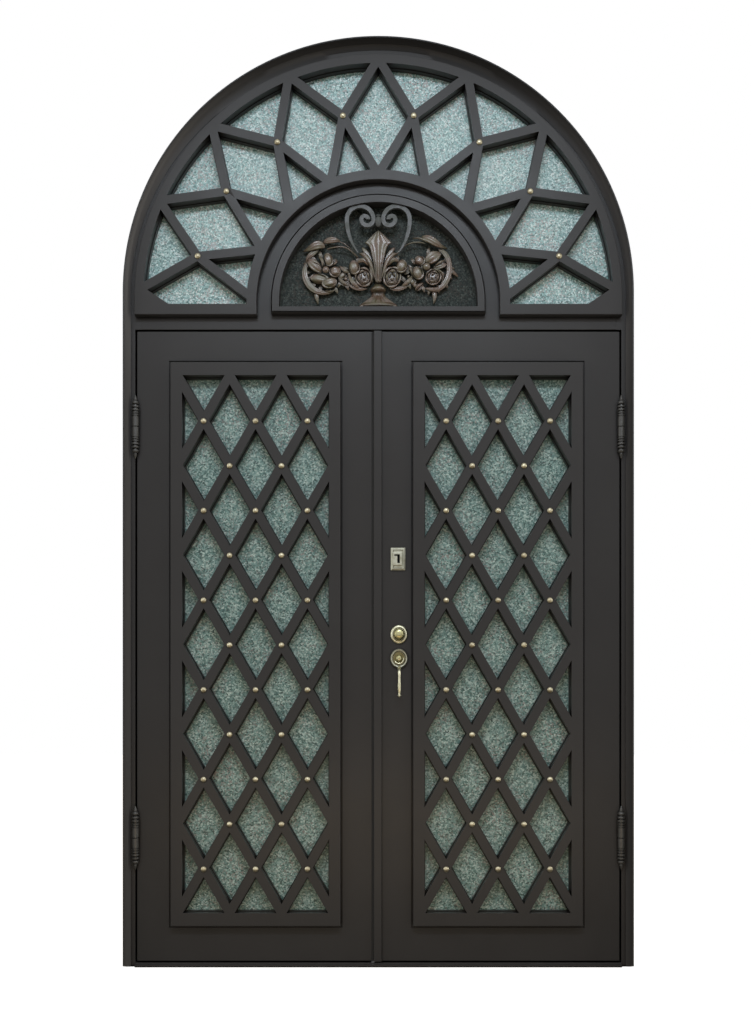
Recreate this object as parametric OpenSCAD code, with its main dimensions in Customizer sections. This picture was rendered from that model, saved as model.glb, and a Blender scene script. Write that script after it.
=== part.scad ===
// Arched steel entrance door: two glazed leaves, a lunette and a fan light.
// The front faces -Y, the origin is the middle of the sill's underside at floor level.

/* [Frame] */
// Overall width over the outer lip
frame_w = 1680; // [1400:1:2000]
// Depth of the frame's box section, front face to back face
frame_depth = 120; // [100:1:160]
// How far the outer lip stands ahead of the frame's front face
lip_proj = 50; // [20:1:70]
// Thickness of the outer lip
lip_t = 5; // [3:1:8]
// Face width of a jamb, lip included
jamb_w = 31.5; // [28:0.5:60]
// Width of the frame's box section round the arch, lip included
arch_w = 50; // [45:1:60]
// Width of the stop that a closed leaf meets
stop_w = 22; // [15:1:30]
// Height of the sill
sill_h = 13; // [10:1:20]
// Height of the sill's upstand behind the leaves, above the sill
upstand_h = 15; // [10:1:25]

/* [Leaves] */
// Height of a leaf
leaf_h = 2096; // [1740:1:2400]
// Thickness of a leaf
leaf_t = 60; // [50:1:70]
// Gap round each leaf
leaf_gap = 5; // [5:0.5:8]
// How far the leaves lie behind the frame's front face
leaf_setback = 3; // [0:0.5:8]
// Offset of the meeting gap's centre from the door's centre line
meeting_x = -18; // [-30:1:-10]
// How much narrower each leaf is at its back, along its meeting edge
edge_bevel = 4.5; // [4:0.5:8]
// Width of the cover strip on the active leaf
cover_w = 26; // [20:1:40]
// Projection of the cover strip
cover_t = 8; // [4:1:10]

/* [Leaf panels] */
// Plain face between a leaf's meeting edge and its panel
lock_margin = 104; // [90:1:130]
// Plain face between the passive leaf's hinge edge and its panel
hinge_margin = 117; // [90:1:150]
// Plain face below a panel
panel_foot = 121; // [80:1:200]
// Plain face above a panel
panel_head = 110; // [80:1:200]
// Width of a panel's side bars
panel_stile = 38; // [30:1:50]
// Width of a panel's top and bottom bars
panel_rail = 44; // [30:1:60]
// How far the front panels stand proud, on the leaves and in the arch
panel_proj = 30; // [20:1:32]
// How far the back panels stand proud of a leaf's back
back_proj = 10; // [6:1:15]
// Width of the rebate that holds the glass, behind a panel's bars
rebate_w = 12; // [8:1:14]

/* [Lattice and glass] */
// Depth from a panel's front face to the glass
glass_recess = 49; // [40:1:55]
// Thickness of the glass
glass_t = 10; // [6:1:16]
// Face width of a lattice bar
bar_w = 30; // [22:1:36]
// Distance between crossings along a row
pitch_x = 171.5; // [150:0.5:220]
// Number of lattice rows in the height of a panel's opening
rows = 12; // [8:2:16]
// Radius of a stud
stud_r = 8.5; // [6:0.5:11]
// Height of a stud
stud_h = 5; // [3:0.5:6]

/* [Fan light] */
// Height of the transom's face seen between the leaves and the fan light
transom_face = 41; // [30:1:70]
// Height of the fan light's bottom bars
fan_rail = 35; // [25:1:50]
// Width of the fan light's outer band
fan_band = 30; // [24:1:34]
// Width of the fan light's inner band
fan_inner_band = 33; // [24:1:40]
// Height of the fan light's centre above the foot of its opening
fan_rise = 20; // [10:1:40]
// Inner radius of the fan light's frame
fan_inner_r = 402; // [340:1:460]
// Angle between two crossings
fan_step = 22; // [20:1:22]
// Distance of the crossings outside the middle of the opening
fan_node_out = 7; // [-20:1:20]
// Face width of a fan light bar
fan_bar_w = 28; // [20:1:32]
// Height of the frame arch's centre above the fan light's
arch_rise = 14; // [0:1:16]

/* [Lunette] */
// How far the lunette's centre lies below the fan light's
lunette_drop = 11; // [0:1:16]
// Outer radius of the lunette's raised frame
lunette_r = 355; // [300:1:400]
// Width of the lunette's raised frame
lunette_band = 27; // [20:1:35]
// Height of the lunette's bottom bar
lunette_rail_h = 19; // [15:1:30]

/* [Hinges] */
// Radius of a hinge barrel
barrel_r = 11.5; // [9:0.5:12]
// Length of a hinge with its finials
hinge_len = 216; // [160:1:260]
// Radius of the hinge pin
hinge_pin_r = 6; // [4:0.5:7]
// Height of the lower hinges' middle above the sill's foot
low_hinge_z = 430; // [300:1:600]
// Height of the upper hinges' middle below the leaves' top
top_hinge_drop = 321; // [250:1:500]

/* [Lock] */
// Distance of the handle's axis from the door's centre line
lock_x = 69; // [60:1:80]
// Height of the handle's axis above the floor
handle_z = 1025; // [950:1:1100]
// Distance from the handle's axis up to the cylinder cover
cylinder_up = 80; // [70:1:100]
// Distance from the handle's axis up to the key plate
key_up = 331; // [250:1:400]
// Radius of a rose
rose_r = 29; // [24:1:30]
// Thickness of a rose
rose_t = 12; // [6:1:14]
// Length of the lever, from its axis to its tip
lever_len = 123; // [100:1:140]
// Thickness of the lever
lever_t = 13; // [10:1:16]
// Distance from the leaf's front face to the middle of the lever
lever_out = 46; // [44:1:60]

/* [Hidden] */
$fn = 96;

eps = 0.01;        // runs a cut past a face
touch = 0.3;       // gap between parts that rest on each other with curved faces
seal_gap = 0.5;    // gap between a seal and the leaf that closes on it
steel = "#3b3b3c";
glass_tint = [0.5, 0.58, 0.56];
bronze = "#5a4638";
brass = "#a79a6e";
rubber = "#1c1c1c";

// Levels along Y, from front to back
front_y = -frame_depth / 2;
back_y = frame_depth / 2;
lip_y = front_y - lip_proj;
panel_y = front_y - panel_proj;
leaf_y = front_y + leaf_setback;
leaf_back_y = leaf_y + leaf_t;
leaf_panel_y = leaf_y - panel_proj;
glass_y = panel_y + glass_recess;
leaf_glass_y = leaf_panel_y + glass_recess;
back_panel_y = leaf_back_y + back_proj;
stop_y = leaf_back_y + leaf_gap;

// Widths
half_w = frame_w / 2;
jamb_x = half_w - jamb_w;
hinge_x = jamb_x - leaf_gap / 2;
leaf_edge_x = jamb_x - leaf_gap;
stop_x = jamb_x - stop_w;
left_meet_x = meeting_x - leaf_gap / 2 - 0.5;
right_meet_x = left_meet_x + leaf_gap + 1;
panel_w = leaf_edge_x + left_meet_x - hinge_margin - lock_margin;
left_panel_x = left_meet_x - lock_margin - panel_w / 2;
right_panel_x = right_meet_x + cover_w + lock_margin + panel_w / 2;

// Heights
leaf_z = sill_h + leaf_gap;
leaf_top_z = leaf_z + leaf_h;
transom_z = leaf_top_z + leaf_gap;
panel_z = leaf_z + panel_foot;
panel_h = leaf_h - panel_foot - panel_head;
open_w = panel_w - 2 * panel_stile;
open_z = panel_z + panel_rail;
open_h = panel_h - 2 * panel_rail;
fan_z = transom_z + transom_face;
fan_open_z = fan_z + fan_rail;
transom_top_z = fan_open_z - rebate_w - 3;
fan_cz = fan_open_z + fan_rise;
arch_cz = fan_cz + arch_rise;
lunette_cz = fan_cz - lunette_drop;

// Radii
fan_r = hinge_x;
fan_out_r = fan_r - fan_band;
fan_in_r = fan_inner_r + fan_inner_band;
node_r = (fan_out_r + fan_in_r) / 2 + fan_node_out;
arch_in_r = half_w - arch_w;
lunette_in_r = lunette_r - lunette_band;
lunette_open_z = transom_top_z + 7;
lunette_z = lunette_open_z - lunette_rail_h;
lunette_glass_r = lunette_in_r + rebate_w;
ring_in_r = lunette_glass_r + touch;
ring_out_r = fan_in_r - rebate_w - touch;
tips = floor(90 / fan_step);

// Hinges and lock
hinge_y = front_y - barrel_r - 0.5;
hinge_zs = [low_hinge_z, leaf_top_z - top_hinge_drop];
cylinder_z = handle_z + cylinder_up;
key_z = handle_z + key_up;
lever_y = leaf_y - lever_out;
lever_back_y = leaf_back_y + lever_out - 6;
rose_y = leaf_y - rose_t;
back_rose_t = rose_t - 3;
back_rose_y = leaf_back_y + back_rose_t;
spindle_r = 5;
neck_r = 9;

// Ornament, drawn for a lunette opening 345 high and scaled to the real one
ornament = (lunette_cz + lunette_in_r - lunette_open_z) / 345;
ornament_y = glass_y - 2;
vase_depth = 40;
// Half width and height above the lunette's bottom bar
vase_outline = [
  [0, 0], [67, 0], [67, 5], [46, 20], [30, 45], [23, 58], [23, 72], [14, 78], [14, 96],
  [30, 140], [54, 164], [67.5, 180], [58, 200], [40, 222], [18, 246], [5, 257], [0, 257]
];
// Bent bars of a scroll: width, depth, front face and height of the centres
scroll_w = 13;
scroll_t = 12;
scroll_y = -vase_depth;
scroll_z = 287.5;
// Middle and radius of a scroll's arcs: tail, bow, turn and end
tail = [79, 183];
bow = [-60, 44];
turn = [-36, 20];
curl = [-45, 11];
ball_r = 10;
// Blossoms, buds and leaves of the left spray: x, height above the bottom bar, radius
spray = [
  [-70, 130, 32], [-90, 152, 22], [-114, 122, 20], [-138, 126, 20], [-160, 150, 26], [-190, 142, 26],
  [-176, 116, 28], [-152, 104, 22], [-204, 120, 20], [-190, 92, 16], [-170, 178, 17], [-208, 168, 16],
  [-198, 190, 14], [-178, 204, 13]
];
spray_depth = 16;
spray_relief = 18;
spray_inset = 6;
stem_r = 84;
stem_w = 8;

// A 2D shape drawn in X and Z, standing between two levels of Y
module upright(y0, y1) {
  translate([0, y1, 0]) rotate([90, 0, 0]) linear_extrude(y1 - y0) children();
}

// 2D rectangle from one corner to the other
module rect(x0, z0, x1, z1) {
  translate([x0, z0]) square([x1 - x0, z1 - z0]);
}

module box(x0, y0, z0, x1, y1, z1) {
  translate([x0, y0, z0]) cube([x1 - x0, y1 - y0, z1 - z0]);
}

/* ---- frame ---- */

module jamb() {
  color(steel) linear_extrude(transom_z) polygon([
    [-half_w, lip_y], [-half_w + lip_t, lip_y], [-half_w + lip_t, front_y], [-jamb_x, front_y],
    [-jamb_x, stop_y], [-stop_x, stop_y], [-stop_x, back_y], [-half_w, back_y]
  ]);
}

module arch_profile() {
  polygon([
    [half_w, lip_y], [half_w - lip_t, lip_y], [half_w - lip_t, front_y], [arch_in_r, front_y],
    [arch_in_r, back_y], [half_w, back_y]
  ]);
}

// Left quarter of the arch with its straight foot on the jamb
module arch_half() {
  color(steel) {
    translate([0, 0, arch_cz]) rotate([90, 0, 0]) mirror([1, 0, 0])
      rotate_extrude(angle = 90) mirror([0, 1, 0]) arch_profile();
    translate([0, 0, transom_z]) mirror([1, 0, 0]) linear_extrude(arch_cz - transom_z) arch_profile();
  }
}

module sill() {
  color(steel) union() {
    box(-jamb_x, front_y, 0, jamb_x, stop_y, sill_h);
    box(-stop_x, stop_y - eps, 0, stop_x, back_y, sill_h);
    box(-stop_x, stop_y, sill_h - eps, stop_x, back_y, sill_h + upstand_h);
  }
}

module transom_bar() {
  color(steel) union() {
    box(-arch_in_r, front_y, transom_z, arch_in_r, back_y, transom_top_z);
    box(-stop_x, stop_y, transom_z - stop_w, stop_x, back_y, transom_z + eps);
  }
}

// Rubber strips on the stops, one at each jamb and one under the transom
module door_seal() {
  seal_w = 12;
  top_z = transom_z - 5;
  color(rubber) for (s = [0, 1]) mirror([s, 0, 0])
    box(-stop_x - seal_w, leaf_back_y + seal_gap, leaf_z, -stop_x, stop_y, top_z - seal_w - 1);
  color(rubber) box(-stop_x, leaf_back_y + seal_gap, top_z - seal_w, stop_x, stop_y, top_z);
}

/* ---- fan light ---- */

// Half-plane right of the centre line, above a height
module right_of_centre(z0) {
  rect(0, z0, frame_w, fan_z + frame_w);
}

// Upper half disc on straight sides that run down to a level
module arched(r, cz, z0) {
  intersection() {
    translate([0, cz]) circle(r);
    rect(-r, cz, r, cz + r);
  }
  rect(-r, z0, r, cz + eps);
}

// Right half of the fan light's opening, grown by a margin
module fan_open(grow = 0) {
  intersection() {
    difference() {
      arched(fan_out_r + grow, fan_cz, fan_open_z - grow);
      arched(fan_in_r - grow, lunette_cz, fan_open_z - grow - eps);
    }
    right_of_centre(fan_open_z - grow);
  }
}

// Centre line point of the fan light at a radius and an angle
function fan_point(r, a, cz) = [r * cos(a), cz + r * sin(a)];

// Flat bar between two points
module bar_2d(p, q, w) {
  d = q - p;
  translate(p) rotate(atan2(d[1], d[0])) translate([0, -w / 2]) square([norm(d), w]);
}

// Kinked bars of the right half: each crossing is tied to the tips on both sides of it
module fan_bars() {
  for (k = [0 : tips]) {
    crossing = fan_point(node_r, 90 - fan_step * (k + 0.5), fan_cz);
    for (tip = [k, k + 1]) {
      a = 90 - fan_step * tip;
      if (tip <= tips) bar_2d(crossing, fan_point(fan_out_r + fan_bar_w / 2, a, fan_cz), fan_bar_w);
      if (tip <= tips && k < tips) bar_2d(crossing, fan_point(fan_in_r - fan_bar_w / 2, a, lunette_cz), fan_bar_w);
    }
  }
}

// Raised band round one half of the fan light, with the rebate that holds the glass
module fan_frame(s) {
  color(steel) mirror([s, 0, 0]) mirror([1, 0, 0]) {
    upright(panel_y, front_y) difference() {
      intersection() {
        arched(fan_r, fan_cz, fan_z);
        right_of_centre(fan_z);
      }
      arched(fan_inner_r, lunette_cz, fan_z - eps);
      fan_open();
    }
    upright(front_y - eps, glass_y) difference() {
      fan_open(rebate_w);
      fan_open();
    }
  }
}

// Bars of one half, in front of the glass and behind it
module fan_lattice(s) {
  back_depth = leaf_back_y - glass_y;
  color(steel) mirror([s, 0, 0]) mirror([1, 0, 0]) {
    upright(panel_y, glass_y) intersection() {
      fan_bars();
      fan_open();
    }
    upright(glass_y + glass_t, glass_y + back_depth) {
      intersection() {
        fan_bars();
        fan_open(eps);
      }
      difference() {
        fan_open(rebate_w);
        fan_open();
      }
    }
  }
}

module fan_glass() {
  color(glass_tint) upright(glass_y, glass_y + glass_t) for (s = [0, 1]) mirror([s, 0]) fan_open(rebate_w);
}

// Low domed stud standing on a face that looks to the front
module stud(x, y, z) {
  translate([x, y, z]) rotate([90, 0, 0]) {
    cylinder(h = stud_h / 2, r1 = stud_r, r2 = stud_r * 0.85, $fn = 24);
    translate([0, 0, stud_h / 2]) cylinder(h = stud_h / 2, r1 = stud_r * 0.85, r2 = stud_r * 0.4, $fn = 24);
  }
}

module fan_studs() {
  color(brass) for (s = [-1, 1], k = [0 : tips - 1]) {
    p = fan_point(node_r, 90 - fan_step * (k + 0.5), fan_cz);
    stud(s * p[0], panel_y, p[1]);
  }
}

/* ---- lunette ---- */

// Box-section ring between the fan light and the lunette, standing on the transom
module lunette_ring() {
  color(steel) upright(front_y, back_y) difference() {
    arched(ring_out_r, lunette_cz, transom_top_z);
    arched(ring_in_r, lunette_cz, transom_top_z - eps);
  }
}

module lunette_arch() {
  color(steel) {
    upright(panel_y, front_y) difference() {
      arched(lunette_r, lunette_cz, lunette_z);
      arched(lunette_in_r, lunette_cz, lunette_z - eps);
    }
    upright(front_y - eps, glass_y) difference() {
      arched(lunette_glass_r, lunette_cz, transom_top_z);
      arched(lunette_in_r, lunette_cz, transom_top_z - eps);
    }
  }
}

module lunette_rail() {
  color(steel) {
    upright(panel_y, front_y) rect(-lunette_in_r, lunette_z, lunette_in_r, lunette_open_z);
    upright(front_y - eps, glass_y) rect(-lunette_in_r, transom_top_z, lunette_in_r, lunette_open_z);
  }
}

module lunette_glass() {
  color(glass_tint) upright(glass_y, glass_y + glass_t) arched(lunette_glass_r, lunette_cz, transom_top_z);
}

/* ---- ornament in the lunette ---- */

// Places the ornament, which is drawn about the middle of the opening's foot
module in_lunette() {
  translate([0, ornament_y, lunette_open_z]) scale(ornament) children();
}

module vase_shape(grow = 0) {
  intersection() {
    rotate_extrude() polygon([
      for (p = vase_outline) [p[0] > 0 ? p[0] + grow : 0, p[1] + (p[1] > 0 ? grow : 0)]
    ]);
    box(-90 - grow, -vase_depth - grow, -grow, 90 + grow, grow, 300);
  }
}

module vase() {
  color(bronze) in_lunette() vase_shape();
}

// Flat bar bent to an arc, from angle a0 to a1; arc gives its middle and its radius
module bent_bar(arc, a0, a1) {
  translate([arc[0], scroll_y + scroll_t, scroll_z]) rotate([90, 0, 0]) rotate([0, 0, a0])
    rotate_extrude(angle = a1 - a0) translate([arc[1] - scroll_w / 2, 0]) square([scroll_w, scroll_t]);
}

// One scroll: a tail, a wide bow and two turns inwards
module scroll() {
  bent_bar(tail, 180, 216);
  bent_bar(bow, 0, 180);
  bent_bar(turn, -180, 0);
  bent_bar(curl, 0, 180);
}

module scrolls() {
  color("slategray") in_lunette() difference() {
    union() {
      scroll();
      mirror([1, 0, 0]) scroll();
      translate([0, scroll_y + scroll_t, scroll_z]) rotate([90, 0, 0]) cylinder(h = scroll_t, r = ball_r);
    }
    vase_shape(touch);
  }
}

// Outline of the left spray: its blossoms, buds and leaves, each round
module spray_2d(inset) {
  for (b = spray) translate([b[0], b[1]]) circle(b[2] - inset);
}

// Arched stem from the vase's shoulder to the outer leaves
module stem_2d() {
  intersection() {
    translate([-125, 130]) difference() {
      circle(stem_r + stem_w / 2);
      circle(stem_r - stem_w / 2);
    }
    rect(-200, 150, 0, 300);
  }
}

module bouquet() {
  color(bronze) in_lunette() difference() {
    union() {
      upright(-spray_depth, 0) {
        spray_2d(0);
        stem_2d();
      }
      upright(-spray_depth - spray_relief, eps - spray_depth) spray_2d(spray_inset);
    }
    vase_shape(touch);
  }
}

/* ---- hinges ---- */

// Outline of half a hinge barrel: rings and a finial at its outer end
module barrel_outline(len) {
  r = barrel_r;
  polygon([
    [0, 0], [r, 0], [r, len - 46], [r * 0.85, len - 45], [r * 0.85, len - 42], [r, len - 41], [r, len - 34],
    [r * 0.8, len - 33], [r * 0.8, len - 30], [r, len - 29], [r, len - 21], [r * 0.7, len - 19],
    [r * 0.7, len - 17], [r * 0.8, len - 14], [r * 0.7, len - 9], [r * 0.35, len - 3], [0, len]
  ]);
}

// Lower half with the pin, welded to the jamb
module hinge_post(s) {
  half = hinge_len / 2;
  pin_len = half * 0.6;
  for (z = hinge_zs) translate([s * hinge_x, hinge_y, z]) union() {
    mirror([0, 0, 1]) rotate_extrude() barrel_outline(half - touch / 2);
    cylinder(h = pin_len, r = hinge_pin_r);
    mirror([s > 0 ? 0 : 1, 0, 0])
      box(leaf_gap / 2, 6, -half * 0.55, barrel_r - 1, front_y - hinge_y, -touch);
  }
}

// Upper half with its bore, welded to the leaf
module hinge_barrel(s) {
  half = hinge_len / 2;
  pin_len = half * 0.6;
  for (z = hinge_zs) translate([s * hinge_x, hinge_y, z]) difference() {
    union() {
      translate([0, 0, touch / 2]) rotate_extrude() barrel_outline(half - touch / 2);
      mirror([s > 0 ? 1 : 0, 0, 0])
        box(leaf_gap / 2, 6, touch, barrel_r - 1, leaf_y - hinge_y, half * 0.55);
    }
    translate([0, 0, -1]) cylinder(h = pin_len + 3, r = hinge_pin_r + 0.05);
  }
}

module left_hinge_posts() {
  color(steel) hinge_post(-1);
}

module right_hinge_posts() {
  color(steel) hinge_post(1);
}

module left_hinge_barrels() {
  color(steel) hinge_barrel(-1);
}

module right_hinge_barrels() {
  color(steel) hinge_barrel(1);
}

/* ---- leaves ---- */

// Rectangle of a panel's opening about the panel's middle, grown by a margin
module panel_open(x, grow = 0) {
  rect(x - open_w / 2 - grow, open_z - grow, x + open_w / 2 + grow, open_z + open_h + grow);
}

module panel_outline(x) {
  rect(x - panel_w / 2, panel_z, x + panel_w / 2, panel_z + panel_h);
}

module slab_opening(x) {
  upright(leaf_y - eps, leaf_back_y + eps) panel_open(x, rebate_w);
}

module left_leaf_slab() {
  color(steel) difference() {
    translate([0, 0, leaf_z]) linear_extrude(leaf_h) polygon([
      [-leaf_edge_x, leaf_y], [left_meet_x, leaf_y], [left_meet_x - edge_bevel, leaf_back_y],
      [-leaf_edge_x, leaf_back_y]
    ]);
    slab_opening(left_panel_x);
  }
}

module right_leaf_slab() {
  color(steel) difference() {
    translate([0, 0, leaf_z]) linear_extrude(leaf_h) polygon([
      [leaf_edge_x, leaf_y], [right_meet_x, leaf_y], [right_meet_x + edge_bevel, leaf_back_y],
      [leaf_edge_x, leaf_back_y]
    ]);
    slab_opening(right_panel_x);
    translate([lock_x, leaf_back_y + 1, handle_z]) rotate([90, 0, 0]) cylinder(h = leaf_t + 2, r = neck_r);
  }
}

// Raised frame on the front of a leaf, with the rebate that holds the glass
module front_trim(x) {
  color(steel) {
    upright(leaf_panel_y, leaf_y) difference() {
      panel_outline(x);
      panel_open(x);
    }
    upright(leaf_y - eps, leaf_glass_y) difference() {
      panel_open(x, rebate_w);
      panel_open(x);
    }
  }
}

// Low frame on the back of a leaf, with the bead that presses on the glass
module back_trim(x) {
  color(steel) {
    upright(leaf_back_y, back_panel_y) difference() {
      panel_outline(x);
      panel_open(x);
    }
    upright(leaf_glass_y + glass_t, leaf_back_y + eps) difference() {
      panel_open(x, rebate_w);
      panel_open(x);
    }
  }
}

// Rhombus with its points on the axes
module rhombus(a, b) {
  polygon([[a, 0], [0, b], [-a, 0], [0, -b]]);
}

// Diamond lattice that fills a panel's opening
module lattice_2d(x) {
  pitch_z = open_h / rows;
  half_x = pitch_x / 2;
  side = half_x * pitch_z / norm([half_x, pitch_z]);
  inset = 1 - bar_w / 2 / side;
  columns = ceil(open_w / pitch_x / 2);
  difference() {
    panel_open(x);
    intersection() {
      panel_open(x, eps);
      for (row = [0 : rows], i = [-columns : columns]) {
        shift = row % 2 == 0 ? 0 : half_x;
        translate([x + i * pitch_x + shift, open_z + row * pitch_z]) rhombus(half_x * inset, pitch_z * inset);
      }
    }
  }
}

module lattice(x) {
  color(steel) {
    upright(leaf_panel_y, leaf_glass_y) lattice_2d(x);
    upright(leaf_glass_y + glass_t, back_panel_y) lattice_2d(x);
  }
}

module leaf_glass(x) {
  color(glass_tint) upright(leaf_glass_y, leaf_glass_y + glass_t) panel_open(x, rebate_w);
}

// Studs on every crossing that lies clear inside the opening
module leaf_studs(x) {
  pitch_z = open_h / rows;
  columns = ceil(open_w / pitch_x / 2);
  color(brass) for (row = [1 : rows - 1], i = [-columns : columns]) {
    sx = i * pitch_x + (row % 2 == 0 ? pitch_x / 2 : 0);
    if (abs(sx) < open_w / 2 - stud_r) stud(x + sx, leaf_panel_y, open_z + row * pitch_z);
  }
}

module left_front_trim() {
  front_trim(left_panel_x);
}

module left_back_trim() {
  back_trim(left_panel_x);
}

module left_lattice() {
  lattice(left_panel_x);
}

module left_glass() {
  leaf_glass(left_panel_x);
}

module left_studs() {
  leaf_studs(left_panel_x);
}

module right_front_trim() {
  front_trim(right_panel_x);
}

module right_back_trim() {
  back_trim(right_panel_x);
}

module right_lattice() {
  lattice(right_panel_x);
}

module right_glass() {
  leaf_glass(right_panel_x);
}

module right_studs() {
  leaf_studs(right_panel_x);
}

// Rubber lip on the passive leaf that fills the gap between the leaves
module meeting_seal() {
  lip_setback = 3;
  color(rubber) box(left_meet_x, leaf_y + lip_setback, leaf_z, right_meet_x - 1, leaf_y + lip_setback + 5, leaf_top_z);
}

// Strip along the active leaf's meeting edge
module cover_strip() {
  edge = 2;
  color(steel) translate([0, 0, leaf_z]) linear_extrude(leaf_h) polygon([
    [right_meet_x, leaf_y], [right_meet_x, leaf_y - cover_t + edge], [right_meet_x + edge, leaf_y - cover_t],
    [right_meet_x + cover_w - edge, leaf_y - cover_t], [right_meet_x + cover_w, leaf_y - cover_t + edge],
    [right_meet_x + cover_w, leaf_y]
  ]);
}

/* ---- lock ---- */

// Round plate with a sloping rim, lying on a face; dir is -1 to the front and 1 to the back
module rose(y, z, t, dir) {
  rim = 5;
  translate([lock_x, y, z]) rotate([-90 * dir, 0, 0]) {
    cylinder(h = t - rim, r = rose_r);
    translate([0, 0, t - rim]) cylinder(h = rim, r1 = rose_r, r2 = rose_r - rim);
  }
}

module key_plate() {
  w = 51;
  h = 77;
  t = 8;
  slope = 5;
  slot_w = 8;
  slot_h = 28;
  slot_x = lock_x + 6;
  x0 = lock_x - 3 - w / 2;
  z0 = key_z - h / 2;
  color(brass) {
    difference() {
      hull() {
        box(x0, leaf_y - t + slope, z0, x0 + w, leaf_y, z0 + h);
        box(x0 + slope, leaf_y - t, z0 + slope, x0 + w - slope, leaf_y, z0 + h - slope);
      }
      box(slot_x, leaf_y - t - 1, key_z - slot_h / 2, slot_x + slot_w, leaf_y - t / 2, key_z + slot_h / 2);
    }
    box(x0, leaf_back_y, z0, x0 + w, leaf_back_y + 6, z0 + h);
  }
}

// Cover of the lock cylinder: a rose with a domed cap, and a plain one inside
module cylinder_rose() {
  cap_r = 15;
  color(brass) {
    rose(leaf_y, cylinder_z, rose_t, -1);
    translate([lock_x, leaf_y - rose_t, cylinder_z]) rotate([90, 0, 0]) {
      cylinder(h = 6, r = cap_r);
      translate([0, 0, 6]) cylinder(h = 4, r1 = cap_r, r2 = cap_r - 6);
    }
    rose(leaf_back_y, cylinder_z, back_rose_t, 1);
  }
}

// Roses that the spindle runs in
module lever_rose() {
  color(brass) difference() {
    union() {
      rose(leaf_y, handle_z, rose_t, -1);
      rose(leaf_back_y, handle_z, back_rose_t, 1);
    }
    translate([lock_x, back_rose_y + 1, handle_z]) rotate([90, 0, 0])
      cylinder(h = leaf_t + 2 * rose_t + 2, r = spindle_r + 0.05);
  }
}

// Neck and hanging grip; y0 is the rose's face and y1 the middle of the grip
module lever(y0, y1) {
  neck_start = min(y0, y1);
  translate([lock_x, 0, handle_z]) {
    translate([0, neck_start + abs(y1 - y0), 0]) rotate([90, 0, 0]) cylinder(h = abs(y1 - y0), r = neck_r);
    translate([0, y1, 0]) sphere(neck_r + 1);
    translate([0, y1, -lever_len + lever_t / 2]) cylinder(h = lever_len - lever_t / 2, r = lever_t / 2 - 1);
    translate([0, y1, -lever_len + lever_t / 2]) sphere(lever_t / 2);
  }
}

module lever_outer() {
  color(brass) lever(rose_y - touch, lever_y);
}

module lever_inner() {
  color(brass) lever(back_rose_y + touch, lever_back_y);
}

module lever_spindle() {
  color("silver") translate([lock_x, back_rose_y + touch, handle_z]) rotate([90, 0, 0])
    cylinder(h = back_rose_y - rose_y + 2 * touch, r = spindle_r);
}

jamb();  // left_jamb
mirror([1, 0, 0]) jamb();  // right_jamb
arch_half();  // arch_left
mirror([1, 0, 0]) arch_half();  // arch_right
sill();
transom_bar();
door_seal();
fan_frame(0);  // fan_frame_left
fan_frame(1);  // fan_frame_right
fan_lattice(0);  // fan_lattice_left
fan_lattice(1);  // fan_lattice_right
fan_glass();
fan_studs();
lunette_ring();
lunette_arch();
lunette_rail();
lunette_glass();
vase();
scrolls();
bouquet();  // bouquet_left
mirror([1, 0, 0]) bouquet();  // bouquet_right
left_hinge_posts();
right_hinge_posts();
left_leaf_slab();
left_front_trim();
left_back_trim();
left_lattice();
left_glass();
left_studs();
left_hinge_barrels();
meeting_seal();
right_leaf_slab();
right_front_trim();
right_back_trim();
right_lattice();
right_glass();
right_studs();
right_hinge_barrels();
cover_strip();
key_plate();
cylinder_rose();
lever_rose();
lever_outer();
lever_inner();
lever_spindle();
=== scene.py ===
import math

import bmesh
import bpy
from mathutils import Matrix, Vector


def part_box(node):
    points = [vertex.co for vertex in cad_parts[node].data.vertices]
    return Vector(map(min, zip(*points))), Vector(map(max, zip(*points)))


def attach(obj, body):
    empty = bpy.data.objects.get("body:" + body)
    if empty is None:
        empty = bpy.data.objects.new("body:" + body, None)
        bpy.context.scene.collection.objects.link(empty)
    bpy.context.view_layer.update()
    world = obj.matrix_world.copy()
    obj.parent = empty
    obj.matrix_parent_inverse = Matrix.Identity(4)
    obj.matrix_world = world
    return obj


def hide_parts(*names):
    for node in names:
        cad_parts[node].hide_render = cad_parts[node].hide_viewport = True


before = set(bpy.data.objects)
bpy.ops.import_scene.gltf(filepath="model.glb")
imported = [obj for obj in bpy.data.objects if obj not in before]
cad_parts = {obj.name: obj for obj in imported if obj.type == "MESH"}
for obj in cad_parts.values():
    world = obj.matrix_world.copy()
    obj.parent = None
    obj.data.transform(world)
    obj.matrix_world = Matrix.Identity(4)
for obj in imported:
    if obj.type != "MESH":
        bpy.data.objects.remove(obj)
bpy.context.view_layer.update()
print("frame loaded:", len(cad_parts), "pieces")

hair = 0.00002  # places this near count as one
beyond = 0.05  # how far a cutter reaches past what it cuts
mm = 0.001


def letGo():
    bpy.ops.object.select_all(action="DESELECT")


def select(action="SELECT"):
    bpy.ops.mesh.select_all(action=action)


def pick(*obs):
    letGo()
    for ob in obs:
        ob.select_set(True)
    bpy.context.view_layer.objects.active = obs[0]


def edit(ob, kind="FACE"):
    pick(ob)
    bpy.ops.object.mode_set(mode="EDIT")
    bpy.ops.mesh.select_mode(type=kind)
    select("DESELECT")


def done():
    bpy.ops.object.mode_set(mode="OBJECT")


def choose(ob, kind, test):
    bpy.ops.mesh.select_mode(type=kind)
    select("DESELECT")
    mesh = bmesh.from_edit_mesh(ob.data)
    for part in {"FACE": mesh.faces, "EDGE": mesh.edges, "VERT": mesh.verts}[kind]:
        part.select_set(bool(test(part)))
    if kind == "VERT":
        mesh.select_flush_mode()
    bmesh.update_edit_mesh(ob.data)


def chooseFaces(ob, test):
    choose(ob, "FACE", lambda face: test(face.calc_center_median(), face.normal))


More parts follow.
